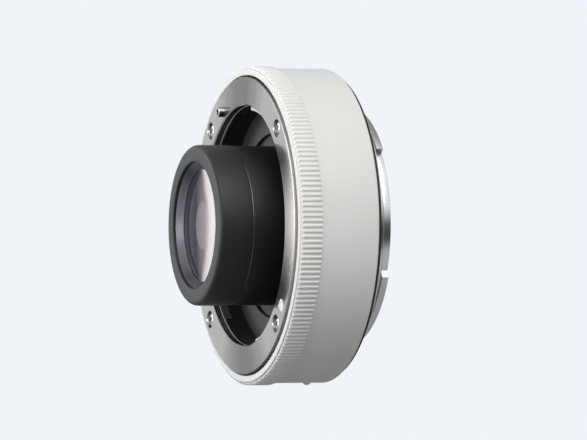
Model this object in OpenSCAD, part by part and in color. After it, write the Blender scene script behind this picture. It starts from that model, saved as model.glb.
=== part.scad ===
// Teleconverter for a mirrorless camera: a white barrel between a female bayonet at the front
// and a male bayonet at the rear, with a rubber-tipped lens barrel standing out of the front.
// Local z runs forward along the optical axis from the rear seat, and local angles are seen from
// the front, counted from the right. in_frame() turns local z to -Y and local y to +Z.

/* [Bayonet] */
// Distance from the rear seat to the front seat
seat_to_seat = 19; // [17:0.1:22]
// How far the front claws stand into the bore
claw_reach = 1; // [0.8:0.05:1.5]
// How far the front claws lie behind the front seat
front_claw_set = 1.1; // [0.5:0.05:1.3]
// Angle that one front claw covers
front_claw_span = 44; // [30:1:50]
// Upper end of the first front claw
front_claw_end = 86; // [76:1:92]
// Distance from a seat to the near face of a male claw
claw_gap = 2; // [1.7:0.05:3]
// Thickness of the male claws
claw_t = 1.35; // [1:0.05:2]
// Angle that one male claw covers
claw_span = 57.5; // [40:0.5:62]
// Lower end of the first male claw
claw_start = 40; // [34:0.5:46]
// Radial clearance of the male claws in the bore
claw_clear = 0.15; // [0.1:0.05:0.4]
// Radial clearance of the male rim inside the female claws
rim_clear = 0.3; // [0.2:0.05:0.7]
// Depth of the relief groove behind the male rim
neck_groove = 0.5; // [0.3:0.05:0.8]
// Wall of the male bayonet tube
bayonet_wall = 1.6; // [1.4:0.1:2.2]
// Thickness of the rear seat flange
flange_t = 1.45; // [1.2:0.05:1.7]
// Thickness of the shim under the rear bayonet
shim_t = 0.2; // [0.1:0.05:0.3]

/* [Front ring] */
// Width of the ring face
ring_w = 5.5; // [4.8:0.1:6.4]
// Thickness of the ring
ring_t = 1.9; // [1.7:0.05:2.3]
// How far the ring stands out of the white lip
ring_proud = 0.5; // [0.2:0.05:0.8]
// Gap between the ring and the lip
lip_gap = 0.4; // [0.2:0.05:0.5]
// Chamfer of the bore at the face
ring_chamfer = 0.25; // [0.05:0.05:0.3]
// Angle of the index dot
dot_angle = -35; // [-38:0.5:-25]
// Diameter of the index dot
dot_d = 2.45; // [1.5:0.05:2.6]
// Thickness of the index dot
dot_t = 0.3; // [0.2:0.05:0.5]

/* [Barrel] */
// Width of the white lip, which sets the outside diameter
lip_w = 1.8; // [1.6:0.05:2.4]
// Length of the grip ring
grip_l = 4.55; // [4:0.05:6]
// Number of ridges on the grip ring
ridges = 196; // [120:4:220]
// Height of the ridges
ridge_h = 0.35; // [0.2:0.05:0.4]
// Plain band in front of the ridges
grip_front = 0.6; // [0.4:0.05:1]
// Plain band behind the ridges
grip_rear = 0.2; // [0.1:0.05:0.5]
// How far the grip ring stands out of the barrel
grip_step = 0.4; // [0.2:0.05:0.6]
// Wall of the barrel
barrel_wall = 1.2; // [1:0.05:1.5]
// Round of the barrel's rear edge
barrel_round = 0.4; // [0.2:0.05:0.8]
// Thickness of the rubber seal behind the barrel
seal_t = 0.7; // [0.5:0.05:1]
// How far the seal lies inside the barrel's surface
seal_inset = 0.7; // [0.3:0.05:1.2]
// Width of the seal
seal_w = 3.1; // [2.6:0.05:3.6]
// Gap between the seal and the rear seat
seal_gap = 0.2; // [0.1:0.05:0.4]
// Distance of the index bead from the rear seat
bead_z = 4.8; // [4.6:0.1:9]
// Angle of the index bead
bead_angle = -93.5; // [-100:0.5:-85]
// Diameter of the index bead
bead_d = 1.5; // [1.2:0.1:3]
// Height of the index bead
bead_h = 0.6; // [0.3:0.05:1]

/* [Nose] */
// How far the nose stands out of the front seat
nose_l = 10.1; // [8.8:0.1:14]
// Wall of the tube under the rubber sleeve
neck_wall = 1.45; // [1.2:0.05:1.8]
// Length of the rubber sleeve
sleeve_l = 6.7; // [5.8:0.1:7.6]
// Thickness of the rubber sleeve
sleeve_t = 1.3; // [1:0.05:1.6]
// Thickness of the sleeve's front lip
sleeve_lip = 0.55; // [0.4:0.05:0.8]
// Round of the sleeve's front edge
sleeve_round = 0.4; // [0.1:0.05:0.8]
// How far the sleeve's lip reaches inside the front element's edge
opening_step = 0.05; // [0:0.05:0.4]
// Step from the sleeve down to the tube behind it
tube_step = 0.1; // [0.05:0.05:0.4]

/* [Optics] */
// Radius of the front element, on which every radius of the part is built
front_lens_r = 12.3; // [10.8:0.05:13.8]
// Width of the front element's rim under its retaining ring
front_rim = 1.4; // [1.1:0.05:1.8]
// How far the retaining ring stands outside the front element
retainer_step = 0.5; // [0.3:0.05:0.7]
// Depth of the front retaining ring
front_retainer_l = 1.3; // [1:0.05:1.6]
// Step from the front element down to the inner elements
lens_step = 0.9; // [0.6:0.05:1.2]
// Width of the stop
stop_w = 1.2; // [0.9:0.05:1.8]
// Depth of the stop's front face, from the front of the nose
stop_depth = 13.9; // [13.6:0.1:14.4]
// Length of the rear retaining ring
rear_retainer_l = 1.5; // [1.2:0.05:1.8]

/* [Lock] */
// Land between the throat and the lock pin's hole
pin_land = 0.4; // [0.35:0.05:0.6]
// Angle of the lock pin and its slider
pin_angle = 116.5; // [113:0.5:122]
// Diameter of the lock pin
pin_d = 2; // [1.7:0.1:2.3]
// How far the lock pin stands out
pin_out = 1.3; // [1:0.05:1.5]
// How far the pin drawn in lies below the front seat
pin_sink = 0.2; // [0.1:0.05:0.4]
// Length of the slider
slider_l = 5.6; // [5:0.1:6]
// Width of the slider
slider_w = 7; // [5:0.1:9]
// How far the slider stands out of the barrel
slider_h = 1; // [0.6:0.05:1.4]
// Wire of the lock spring
spring_wire = 0.35; // [0.25:0.05:0.4]
// Curls of the lock spring
spring_curls = 5; // [4:1:5]

/* [Inside] */
// Depth of the front cavity, from the front seat
cavity_depth = 6; // [5.6:0.1:6.4]
// Thickness of the cavity floor
floor_t = 0.8; // [0.6:0.05:1]
// Room between the nose tube and the contact blocks
block_room = 2.15; // [2:0.05:2.6]
// Width of the contact blocks
block_w = 2.7; // [2.4:0.05:3.2]
// Clearance between the rear contact block and the bayonet
block_clear = 0.15; // [0.1:0.05:0.3]
// How far the cavity floor starts outside the inside of the contact blocks
floor_step = 0.35; // [0.2:0.05:0.6]
// Thickness of the chassis web
web_t = 2; // [1.6:0.05:2.2]
// Wall of the chassis skirt
skirt_wall = 2.2; // [2:0.05:2.4]
// Thickness of the rear chassis plate
rear_plate_t = 2.3; // [2:0.05:2.4]
// Contacts in a row
contacts = 10; // [6:1:10]
// Angle between two contacts
contact_step = 5.2; // [4.5:0.1:5.4]
// How far the rear contact pads lie behind the rear seat
contact_depth = 2.75; // [2.7:0.05:2.85]
// Travel of the contact pins
contact_travel = 0.6; // [0.4:0.05:0.7]
// How far the contact pins stand out of their block
contact_out = 0.9; // [0.8:0.05:1]
// Thickness of the main board
board_t = 0.8; // [0.6:0.05:1]
// Radial clearance between nested pieces
slip = 0.05; // [0.03:0.01:0.08]
// Clearance between faces that lie against each other without touching
rest = 0.02; // [0.01:0.01:0.04]
// Clearance round pieces that pass through a hole
pass = 0.1; // [0.05:0.01:0.2]

/* [Hidden] */
$fn = 96;

white = "#e9e9e5";
steel = "#b9b6b2";
black = "#1c1c1c";
rubber = "#2c2e2d";
glass = "#55506a";
gold = "#c9a24a";
brass = "#b08d4c";
board_green = "#23402e";

// Radii, from the front element outwards
retainer_r = front_lens_r + retainer_step;
tube_neck_r = retainer_r + slip + neck_wall;
nose_r = tube_neck_r + sleeve_t;
tube_r = nose_r - tube_step;
block_in_r = tube_r + block_room;
block_out_r = block_in_r + block_w;
contact_r = (block_in_r + block_out_r) / 2;
bayonet_in_r = block_out_r + block_clear;
rim_r = bayonet_in_r + bayonet_wall;
neck_r = rim_r - neck_groove;
front_claw_r = rim_r + rim_clear;
throat_r = front_claw_r + claw_reach;
claw_r = throat_r - claw_clear;
ring_r = throat_r + ring_w;
lip_r = ring_r + lip_gap;
grip_r = lip_r + lip_w;
ridge_root_r = grip_r - ridge_h;
barrel_r = grip_r - grip_step;
barrel_in_r = barrel_r - barrel_wall;
chassis_r = barrel_in_r - slip;
skirt_in_r = chassis_r - skirt_wall;
seal_r = barrel_r - seal_inset;
seal_in_r = seal_r - seal_w;
seat_r = seal_in_r - seal_gap;
ring_screw_r = throat_r + ring_w * 0.545;
pin_r = throat_r + pin_land + pin_d / 2 + pass;
floor_in_r = block_in_r + floor_step;

// Places along the axis, from the rear seat forwards
ring_back_z = seat_to_seat - ring_t;
lip_z = seat_to_seat - ring_proud;
grip_z = lip_z - grip_l;
floor_z = seat_to_seat - cavity_depth;
web_z = floor_z - floor_t;
web_back_z = web_z - web_t;
plate_z = flange_t + shim_t;
plate_front_z = plate_z + rear_plate_t;
barrel_z = plate_z + seal_t;
bayonet_end_z = -claw_gap - claw_t;
seat_relief = 0.3;
claw_turn = 120;

// Screws: head diameter, head height, shank diameter, shank length
ring_screw = [2.7, 0.75, 1.6, 4.2];
bayonet_screw = [2.3, 0.42, 1.3, 2.2];
small_screw = [1.9, 0.6, 1, 2.2];
plate_screw = [1.8, 0.6, 1.1, 3.4];
flange_screw = [2, 0.7, 1.2, 2.6];
ring_screw_sink = 0.15;
ring_screw_room = 0.35;
cross_w = 0.35;
bayonet_screw_r = (claw_r + seat_relief + seat_r) / 2;
bayonet_screw_angle = 12;
plate_screw_r = (skirt_in_r + chassis_r) / 2;
plate_screw_angle = 20;

// Nose and optics
nose_z = seat_to_seat + nose_l;
sleeve_z = nose_z - sleeve_l;
tube_front_z = nose_z - sleeve_lip;
opening_r = front_lens_r - opening_step;
inner_lens_r = front_lens_r - lens_step;
front_clear_r = front_lens_r - front_rim;
stop_r = inner_lens_r - stop_w;
lens_bore_r = inner_lens_r + slip;
tube_tail_r = lens_bore_r + 1.95;
tube_flange_t = 1.7;
tube_flange_r = tube_r + 1.2;
tube_ear_r = tube_r + 2;
tube_ear_d = 3;
retainer_front_z = tube_front_z - 0.05;
retainer_back_z = retainer_front_z - front_retainer_l;
retainer_front_r = opening_r - 0.15;

// Lens surfaces: radii of curvature from the elements' radii, and thickness on the axis
front_curve_1 = 3.66 * front_lens_r;
rear_curve_1 = 9.8 * front_lens_r;
thick_1 = 4.2;
front_curve_2 = 4.4 * inner_lens_r;
cement_curve_a = 2.65 * inner_lens_r;
thick_2 = 1.2;
thick_3 = 4.8;
rear_curve_3 = 5.3 * inner_lens_r;
front_curve_4 = 3.1 * inner_lens_r;
cement_curve_b = 3.2 * inner_lens_r;
thick_4 = 1.1;
thick_5 = 4.2;
rear_curve_5 = 5.3 * inner_lens_r;
front_curve_6 = 3.5 * inner_lens_r;
thick_6 = 1.5;
rear_curve_6 = 7.9 * inner_lens_r;
rear_air = 1;

function sag(curve, r) = curve - sqrt(curve * curve - r * r);

// Front elements, from the nose backwards
apex_1 = retainer_back_z - rest + sag(front_curve_1, front_clear_r);
back_1 = apex_1 - thick_1;
seat_1_z = back_1 + sag(rear_curve_1, lens_bore_r) - rest;
stop_z = nose_z - stop_depth;
back_3 = stop_z + rest - sag(rear_curve_3, stop_r);
apex_3 = back_3 + thick_3;
back_2 = apex_3 + rest;
apex_2 = back_2 + thick_2;
rim_2_z = apex_2 + sag(front_curve_2, inner_lens_r);

// Rear elements, from the end of the tube forwards
tube_end_z = plate_z + 0.2;
rear_clear_r = inner_lens_r - 0.9;
rear_retainer_z = tube_end_z + rear_retainer_l;
back_6 = rear_retainer_z + rest - sag(rear_curve_6, rear_clear_r);
apex_6 = back_6 + thick_6;
back_5 = apex_6 + rear_air;
apex_5 = back_5 + thick_5;
back_4 = apex_5 + rest;
apex_4 = back_4 + thick_4;
stop_back_z = apex_4 + sag(front_curve_4, inner_lens_r) + rest;
spacer_in_r = inner_lens_r - 0.5;
spacer_top_z = back_5 + sag(rear_curve_5, spacer_in_r) - rest;
spacer_low_z = apex_6 + sag(front_curve_6, inner_lens_r) + rest;

// Lock: link plate behind the web, then the pin's collar, then the spring down to the rear plate
link_t = 0.7;
lock_travel = pin_out + pin_sink;
link_z = web_back_z - pass - link_t;
collar_t = 0.85;
collar_d = pin_d + 1.4;
collar_z = link_z - slip - collar_t;
pin_tail_d = pin_d - 0.6;
pin_tail_l = collar_z - plate_front_z - lock_travel - 0.6;
spring_d = pin_tail_d + 2 * spring_wire + 0.5;
link_w = collar_d + 0.8;
tongue_w = 3;
slot_w = tongue_w + 2 * pass;
slot_low_z = link_z - lock_travel - 2 * pass;
slider_z = link_z + link_t / 2 - slider_l / 2;
slider_pocket = 0.5;
slider_in_r = barrel_r - slider_pocket + slip;
slider_out_r = barrel_r + slider_h;
tongue_r = slider_in_r + 0.7;
slider_grooves = 4;

// Contacts
contact_arc = (contacts - 1) * contact_step;
block_margin = 11;
screw_margin = 7;
plug_margin = 3;
block_half = contact_arc / 2 + block_margin;
block_screw_angle = contact_arc / 2 + screw_margin;
plug_half = contact_arc / 2 + plug_margin;
plug_in_r = block_in_r + 0.4;
plug_out_r = block_out_r - 0.4;
pin_tip_z = seat_to_seat - contact_depth + contact_travel - pass;
block_top_z = pin_tip_z - contact_out;
contact_d = 0.9;
contact_collar_d = 1.2;
contact_collar_t = 0.8;
contact_shoulder_z = block_top_z - 0.7;
contact_wire = 0.14;
contact_curls = 4;
contact_spring_d = 1;
pad_size = [1.7, 1.1, 0.1];
rear_block_end_z = pad_size.z - contact_depth;
rear_head_z = rear_block_end_z + 2.65;
front_head_z = floor_z + 0.9;
flex_t = 0.25;
flex_w = 6;
board_in_r = plug_out_r - 0.7;
board_out_r = skirt_in_r - 0.35;
board_z = web_back_z - 2.6;
board_gap_half = 22;
board_post_r = (board_in_r + board_out_r) / 2 + 0.8;
board_post_d = 3;
board_post_angles = [55, 200, 290];
chip_angles = [160, 230, 265, 320];
chip_sizes = [[3.6, 4.6, 0.9], [4.4, 4.4, 1], [2.4, 3.2, 0.8], [3.2, 5, 0.9]];
front_flex_r = block_out_r + 0.8;
rear_flex_x = contact_r + 0.5;

// Rear baffle
baffle_t = 0.8;
baffle_r = bayonet_in_r - 0.2;
baffle_w = 2.2 * inner_lens_r;
baffle_h = 1.5 * inner_lens_r;
baffle_corner = 2;
baffle_screw_r = baffle_r - 2.4;
baffle_screw_angles = [110, 250];
baffle_clear = 0.3;

// Turn the local frame, with its axis forward, into the part's frame
module in_frame() {
    rotate([90, 0, 0]) children();
}

// Put a child at a radius, an angle and a height
module at(r, angle, z) {
    rotate([0, 0, angle]) translate([r, 0, z]) children();
}

// Ring between two radii and two heights
module ring(r_in, r_out, z_low, z_high) {
    rotate_extrude() translate([r_in, z_low]) square([r_out - r_in, z_high - z_low]);
}

// Part of such a ring between two angles
module arc(r_in, r_out, z_low, z_high, start, end) {
    rotate([0, 0, start])
        rotate_extrude(angle = end - start) translate([r_in, z_low]) square([r_out - r_in, z_high - z_low]);
}

// Round hole along the axis, from one height to another
module hole(d, r, angle, z_low, z_high) {
    at(r, angle, z_low) cylinder(d = d, h = z_high - z_low);
}

// Quarter of a disc, turned by an angle, for rounded edges
module quarter(r, angle) {
    intersection() {
        circle(r = r);
        rotate(angle) square(r);
    }
}

// Screw with a domed cross head: its seat is at z = 0 and its shank points down
module screw(size) {
    dome_r = size[0] * 0.9;
    difference() {
        union() {
            intersection() {
                cylinder(d = size[0], h = size[1]);
                translate([0, 0, size[1] - dome_r]) sphere(r = dome_r);
            }
            translate([0, 0, -size[3]]) cylinder(d = size[2], h = size[3] + size[1] / 4);
        }
        for (turn = [0, 90])
            rotate([0, 0, turn]) translate([0, 0, size[1]])
                cube([size[0] * 0.62, cross_w, size[1]], center = true);
    }
}

// Glass disc between two round surfaces: a curve above zero bulges outwards, below zero it is hollow
module lens(r, apex_z, back_z, front_curve, rear_curve) {
    low_z = back_z - r / 2;
    high_z = apex_z + r / 2;
    rotate_extrude() difference() {
        intersection() {
            translate([0, low_z]) square([r, high_z - low_z]);
            if (front_curve > 0) {
                translate([0, apex_z - front_curve]) circle(r = front_curve, $fn = 720);
            } else {
                translate([0, low_z]) square([r, apex_z + sag(-front_curve, r) - low_z]);
            }
            if (rear_curve > 0) {
                translate([0, back_z + rear_curve]) circle(r = rear_curve, $fn = 720);
            } else {
                translate([0, back_z - sag(-rear_curve, r)]) square([r, high_z - back_z + sag(-rear_curve, r)]);
            }
        }
        if (front_curve < 0) translate([0, apex_z - front_curve]) circle(r = -front_curve, $fn = 720);
        if (rear_curve < 0) translate([0, back_z + rear_curve]) circle(r = -rear_curve, $fn = 720);
    }
}

// One unbroken coil as a swept tube, from height 0 up to its length
curl_rings = 8;
wire_sides = 6;
function coil_centre(d, wire, curls, length, i) =
    let (angle = 360 * i / curl_rings)
    [(d - wire) / 2 * cos(angle), (d - wire) / 2 * sin(angle),
     wire / 2 + (length - wire) * i / (curls * curl_rings)];
function coil_ring(d, wire, curls, length, i) =
    let (c = coil_centre(d, wire, curls, length, i), angle = 360 * i / curl_rings)
    [for (k = [0 : wire_sides - 1])
        let (turn = 360 * k / wire_sides)
        [c.x + wire / 2 * cos(turn) * cos(angle), c.y + wire / 2 * cos(turn) * sin(angle),
         c.z + wire / 2 * sin(turn)]];
function least_coil_gap(d, wire, curls, length) =
    min([for (i = [0 : curls * curl_rings], j = [i + curl_rings / 2 : curls * curl_rings])
        norm(coil_centre(d, wire, curls, length, i) - coil_centre(d, wire, curls, length, j))]) - wire;

module coil(d, wire, curls, length) {
    last = curls * curl_rings;
    points = [for (i = [0 : last]) each coil_ring(d, wire, curls, length, i)];
    sides = [for (i = [0 : last - 1], k = [0 : wire_sides - 1])
        let (a = i * wire_sides + k, b = i * wire_sides + (k + 1) % wire_sides)
        each [[a, b, a + wire_sides], [b, b + wire_sides, a + wire_sides]]];
    first_cap = [for (k = [1 : wire_sides - 2]) [0, k + 1, k]];
    last_cap = [for (k = [1 : wire_sides - 2])
        [last * wire_sides, last * wire_sides + k, last * wire_sides + k + 1]];
    polyhedron(points = points, faces = concat(sides, first_cap, last_cap));
}

// Angles of the contacts, centred on the near side
function contact_angle(i) = (i - (contacts - 1) / 2) * contact_step;

// Front bayonet ring with three inward claws, counterbored screw holes, pin hole and dot pocket
module front_mount_ring() {
    color(steel) difference() {
        union() {
            rotate_extrude() polygon([[throat_r, ring_back_z], [ring_r, ring_back_z], [ring_r, seat_to_seat],
                [throat_r + ring_chamfer, seat_to_seat], [throat_r, seat_to_seat - ring_chamfer]]);
            for (k = [0 : 2])
                arc(front_claw_r, throat_r + slip, ring_back_z, seat_to_seat - front_claw_set,
                    front_claw_end - front_claw_span + claw_turn * k, front_claw_end + claw_turn * k);
        }
        for (k = [0 : 3]) {
            hole(ring_screw[2] + 2 * pass, ring_screw_r, 45 + 90 * k, ring_back_z - 1, seat_to_seat + 1);
            hole(ring_screw[0] + 2 * ring_screw_room, ring_screw_r, 45 + 90 * k,
                 seat_to_seat - ring_screw_sink - ring_screw[1], seat_to_seat + 1);
        }
        hole(pin_d + 2 * pass, pin_r, pin_angle, ring_back_z - 1, seat_to_seat + 1);
        hole(dot_d + 2 * rest, ring_screw_r, dot_angle, seat_to_seat - dot_t - rest, seat_to_seat + 1);
    }
}

// Four screws that hold the front ring
module front_mount_screws() {
    color(steel)
        for (k = [0 : 3])
            at(ring_screw_r, 45 + 90 * k, seat_to_seat - ring_screw_sink - ring_screw[1]) screw(ring_screw);
}

// White index dot set into the front ring
module front_index_dot() {
    color(white) hole(dot_d, ring_screw_r, dot_angle, seat_to_seat - dot_t - rest, seat_to_seat - rest);
}

// Three leaf springs in the cavity wall behind the front ring
spring_leaf_t = 0.25;
spring_leaf_l = 1.3;
spring_leaf_span = 42;
spring_leaf_end = 112;
module mount_springs() {
    color(steel)
        for (k = [0 : 2])
            arc(throat_r + slip, throat_r + slip + spring_leaf_t, ring_back_z - rest - spring_leaf_l,
                ring_back_z - rest, spring_leaf_end - spring_leaf_span + claw_turn * k,
                spring_leaf_end + claw_turn * k);
}

// Black metal chassis: front wall round the cavity, web across and skirt behind
module front_chassis() {
    color(black) difference() {
        rotate_extrude() polygon([[tube_r + slip, web_back_z], [tube_r + slip, web_z], [throat_r, web_z],
            [throat_r, ring_back_z], [chassis_r, ring_back_z], [chassis_r, plate_front_z],
            [skirt_in_r, plate_front_z], [skirt_in_r, web_back_z]]);
        for (k = [0 : 2])
            arc(throat_r - 1, throat_r + spring_leaf_t + 2 * slip, ring_back_z - 3 * rest - spring_leaf_l,
                ring_back_z + 1, spring_leaf_end - spring_leaf_span - 0.5 + claw_turn * k,
                spring_leaf_end + 0.5 + claw_turn * k);
        for (k = [0 : 3]) {
            hole(ring_screw[2] + 2 * rest, ring_screw_r, 45 + 90 * k,
                 ring_back_z - ring_screw[3], ring_back_z + 1);
            hole(plate_screw[2] + 2 * rest, plate_screw_r, plate_screw_angle + 90 * k, plate_front_z - 1,
                 barrel_z + plate_screw[3] + 1);
        }
        hole(pin_d + 2 * slip, pin_r, pin_angle, web_back_z - 1, ring_back_z + 1);
        arc(plug_in_r - pass, plug_out_r + pass, web_back_z - 1, web_z + 1, -plug_half - 0.3, plug_half + 0.3);
        for (side = [-1, 1])
            hole(small_screw[2] + 2 * rest, contact_r, side * block_screw_angle, web_z - 1.5, web_z + 1);
        for (k = [0 : 2])
            hole(flange_screw[2] + 2 * rest, tube_ear_r, 60 + 120 * k, web_back_z - 1, web_back_z + 1.2);
        rotate([0, 0, pin_angle]) translate([skirt_in_r - 0.4, -slot_w / 2, slot_low_z])
            cube([skirt_wall + 2, slot_w, web_back_z - slot_low_z]);
        rotate_extrude() translate([tube_r + slip + o_ring_d / 2 - rest, (web_z + web_back_z) / 2])
            square([o_ring_d + 4 * rest, o_ring_d + 4 * rest], center = true);
        for (angle = board_post_angles)
            hole(small_screw[2] + 2 * rest, board_post_r, angle, web_back_z - 1, web_back_z + 1.2);
    }
}

// Black floor of the front cavity
module cavity_floor() {
    color(black) difference() {
        ring(floor_in_r, throat_r - slip, web_z, floor_z);
        arc(plug_in_r - 1, plug_out_r + pass, web_z - 1, floor_z + 1, -plug_half - 0.3, plug_half + 0.3);
        for (side = [-1, 1])
            hole(small_screw[2] + 2 * pass, contact_r, side * block_screw_angle, web_z - 1, floor_z + 1);
    }
}

// White grip ring with a plain lip and a band of straight ridges
module grip_ring() {
    pitch = 360 / ridges;
    foot = 0.3;
    crest = 0.2;
    ridge_low_z = grip_z + grip_rear;
    ridge_high_z = lip_z - grip_front;
    outline = [for (k = [0 : ridges - 1])
        each [for (p = [[ridge_root_r, -foot], [grip_r, -crest], [grip_r, crest], [ridge_root_r, foot]])
            [p.x * cos((k + p.y) * pitch), p.x * sin((k + p.y) * pitch)]]];
    edge = 0.25;
    color(white) union() {
        translate([0, 0, ridge_low_z]) linear_extrude(ridge_high_z - ridge_low_z) difference() {
            polygon(outline);
            circle(r = barrel_in_r);
        }
        ring(barrel_in_r, ridge_root_r, grip_z, ridge_low_z);
        rotate_extrude() polygon([[lip_r, ring_back_z + rest], [lip_r, lip_z], [grip_r - edge, lip_z],
            [grip_r, lip_z - edge], [grip_r, ridge_high_z + edge], [ridge_root_r, ridge_high_z],
            [barrel_in_r, ridge_high_z], [barrel_in_r, ring_back_z + rest]]);
    }
}

// White barrel with a rounded rear edge, a bead hole and the slider's pocket and slot
module outer_barrel() {
    color(white) difference() {
        rotate_extrude() union() {
            polygon([[barrel_in_r, barrel_z], [barrel_r - barrel_round, barrel_z],
                [barrel_r - barrel_round, barrel_z + barrel_round], [barrel_r, barrel_z + barrel_round],
                [barrel_r, grip_z], [barrel_in_r, grip_z]]);
            translate([barrel_r - barrel_round, barrel_z + barrel_round]) quarter(barrel_round, -90);
        }
        rotate([0, 0, bead_angle]) translate([barrel_in_r - 1, 0, bead_z])
            rotate([0, 90, 0]) cylinder(d = bead_d + 2 * rest, h = barrel_wall + 2);
        rotate([0, 0, pin_angle]) {
            translate([barrel_in_r - 1, -slot_w / 2, slot_low_z])
                cube([barrel_wall + 2, slot_w, link_z + link_t + pass - slot_low_z]);
            intersection() {
                difference() {
                    translate([0, 0, slider_z - lock_travel - 2 * pass])
                        cylinder(r = barrel_r + 1, h = slider_l + lock_travel + 4 * pass);
                    translate([0, 0, slider_z - lock_travel - 1])
                        cylinder(r = barrel_r - slider_pocket, h = slider_l + lock_travel + 2);
                }
                translate([0, -slider_w / 2 - 2 * pass, 0])
                    cube([2 * barrel_r, slider_w + 4 * pass, seat_to_seat]);
            }
        }
    }
}

// White index bead on the barrel
module index_bead() {
    ball_r = (bead_d * bead_d / 4 + bead_h * bead_h) / (2 * bead_h);
    color(white) rotate([0, 0, bead_angle]) translate([0, 0, bead_z]) rotate([0, 90, 0]) intersection() {
        translate([0, 0, barrel_in_r + slip]) cylinder(d = bead_d, h = barrel_wall + bead_h);
        translate([0, 0, barrel_r + bead_h - ball_r]) union() {
            sphere(r = ball_r);
            translate([0, 0, -2 * barrel_wall]) cylinder(d = bead_d, h = 2 * barrel_wall);
        }
    }
}

// Black rubber seal between the barrel and the rear seat
module rear_seal() {
    color(rubber) ring(seal_in_r, seal_r, plate_z, barrel_z);
}

// Black rear plate that closes the chassis and carries the rear bayonet
module rear_chassis() {
    color(black) difference() {
        rotate_extrude() polygon([[tube_tail_r + slip, plate_z], [seal_in_r - slip, plate_z],
            [seal_in_r - slip, barrel_z], [chassis_r, barrel_z], [chassis_r, plate_front_z],
            [tube_tail_r + slip, plate_front_z]]);
        for (k = [0 : 3]) {
            hole(plate_screw[2] + 2 * pass, plate_screw_r, plate_screw_angle + 90 * k,
                 barrel_z - 1, plate_front_z + 1);
            hole(plate_screw[0] + 2 * pass, plate_screw_r, plate_screw_angle + 90 * k,
                 barrel_z - 1, barrel_z + plate_screw[1] + pass);
            hole(bayonet_screw[2] + 2 * rest, bayonet_screw_r, bayonet_screw_angle + 90 * k,
                 plate_z - 1, plate_z + bayonet_screw[3]);
        }
        for (side = [-1, 1])
            hole(small_screw[2] + 2 * rest, contact_r, side * block_screw_angle, plate_z - 1, plate_z + 1.8);
        for (angle = baffle_screw_angles)
            hole(small_screw[2] + 2 * rest, baffle_screw_r, angle, plate_z - 1, plate_z + 1.8);
        translate([rear_flex_x - flex_t / 2 - pass, -flex_w / 2 - 2 * pass, plate_z - 1])
            cube([flex_t + 2 * pass, flex_w + 4 * pass, rear_plate_t + 2]);
        hole(pin_d + 2 * pass, pin_r, pin_angle, plate_z - 1, plate_z + 1);
    }
}

// Four screws that join the rear plate to the chassis, hidden under the seal
module chassis_screws() {
    color(steel)
        for (k = [0 : 3])
            at(plate_screw_r, plate_screw_angle + 90 * k, barrel_z + plate_screw[1] + pass)
                rotate([180, 0, 0]) screw(plate_screw);
}

// Brass shim that sets the seat distance
module mount_shim() {
    color(brass) difference() {
        ring(claw_r, seat_r - slip, flange_t, plate_z);
        for (k = [0 : 3])
            hole(bayonet_screw[2] + 2 * pass, bayonet_screw_r, bayonet_screw_angle + 90 * k, 0, plate_z + 1);
        hole(pin_d + 2 * pass, pin_r, pin_angle, 0, plate_z + 1);
    }
}

// Outline of one male claw, with its leading end cut to a slope
module claw_outline() {
    far = 2 * claw_r;
    middle = claw_start + claw_span / 2;
    last = claw_start + claw_span;
    difference() {
        intersection() {
            circle(r = claw_r);
            polygon([[0, 0], [far * cos(claw_start), far * sin(claw_start)],
                [far * cos(middle), far * sin(middle)], [far * cos(last), far * sin(last)]]);
        }
        circle(r = neck_r - 0.2);
        rotate(last) translate([rim_r + 0.05, 0]) rotate(-45) translate([0, -0.3]) square([4, 3]);
    }
}

// Male bayonet: seat flange, relieved neck, rim and three claws
module rear_bayonet() {
    color(steel) difference() {
        union() {
            rotate_extrude() polygon([[bayonet_in_r, flange_t], [seat_r, flange_t], [seat_r, 0],
                [claw_r + seat_relief, 0], [claw_r + seat_relief, seat_relief], [neck_r, seat_relief],
                [neck_r, -claw_gap + 0.1], [rim_r, -claw_gap + 0.1], [rim_r, bayonet_end_z],
                [bayonet_in_r, bayonet_end_z]]);
            for (k = [0 : 2])
                rotate([0, 0, claw_turn * k]) translate([0, 0, bayonet_end_z])
                    linear_extrude(claw_t) claw_outline();
        }
        for (k = [0 : 3]) {
            hole(bayonet_screw[2] + 2 * pass, bayonet_screw_r, bayonet_screw_angle + 90 * k, -1, flange_t + 1);
            hole(bayonet_screw[0] + 2 * pass, bayonet_screw_r, bayonet_screw_angle + 90 * k, -1,
                 bayonet_screw[1] + pass);
        }
        hole(pin_d + 2 * pass, pin_r, pin_angle, -1, flange_t + 1);
    }
}

// Four screws that hold the rear bayonet
module rear_bayonet_screws() {
    color(steel)
        for (k = [0 : 3])
            at(bayonet_screw_r, bayonet_screw_angle + 90 * k, bayonet_screw[1] + pass)
                rotate([180, 0, 0]) screw(bayonet_screw);
}

// Black block that carries the flat contacts inside the rear bayonet
module rear_contact_block() {
    color(black) difference() {
        arc(block_in_r, block_out_r, rear_block_end_z, plate_z, -block_half, block_half);
        for (side = [-1, 1]) {
            hole(small_screw[2] + 2 * pass, contact_r, side * block_screw_angle,
                 rear_block_end_z - 1, plate_z + 1);
            hole(small_screw[0] + 2 * pass, contact_r, side * block_screw_angle,
                 rear_block_end_z - 1, rear_head_z);
        }
    }
}

// Gold contacts on the rear block
module rear_contact_pads() {
    color(gold)
        for (i = [0 : contacts - 1])
            at(contact_r, contact_angle(i), rear_block_end_z - pad_size.z)
                translate([-pad_size.x / 2, -pad_size.y / 2, 0]) cube(pad_size);
}

// Two screws that hold the rear contact block
module rear_contact_screws() {
    color(steel)
        for (side = [-1, 1])
            at(contact_r, side * block_screw_angle, rear_head_z) rotate([180, 0, 0])
                screw([small_screw[0], small_screw[1], small_screw[2], plate_z - rear_head_z + 1.6]);
}

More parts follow.
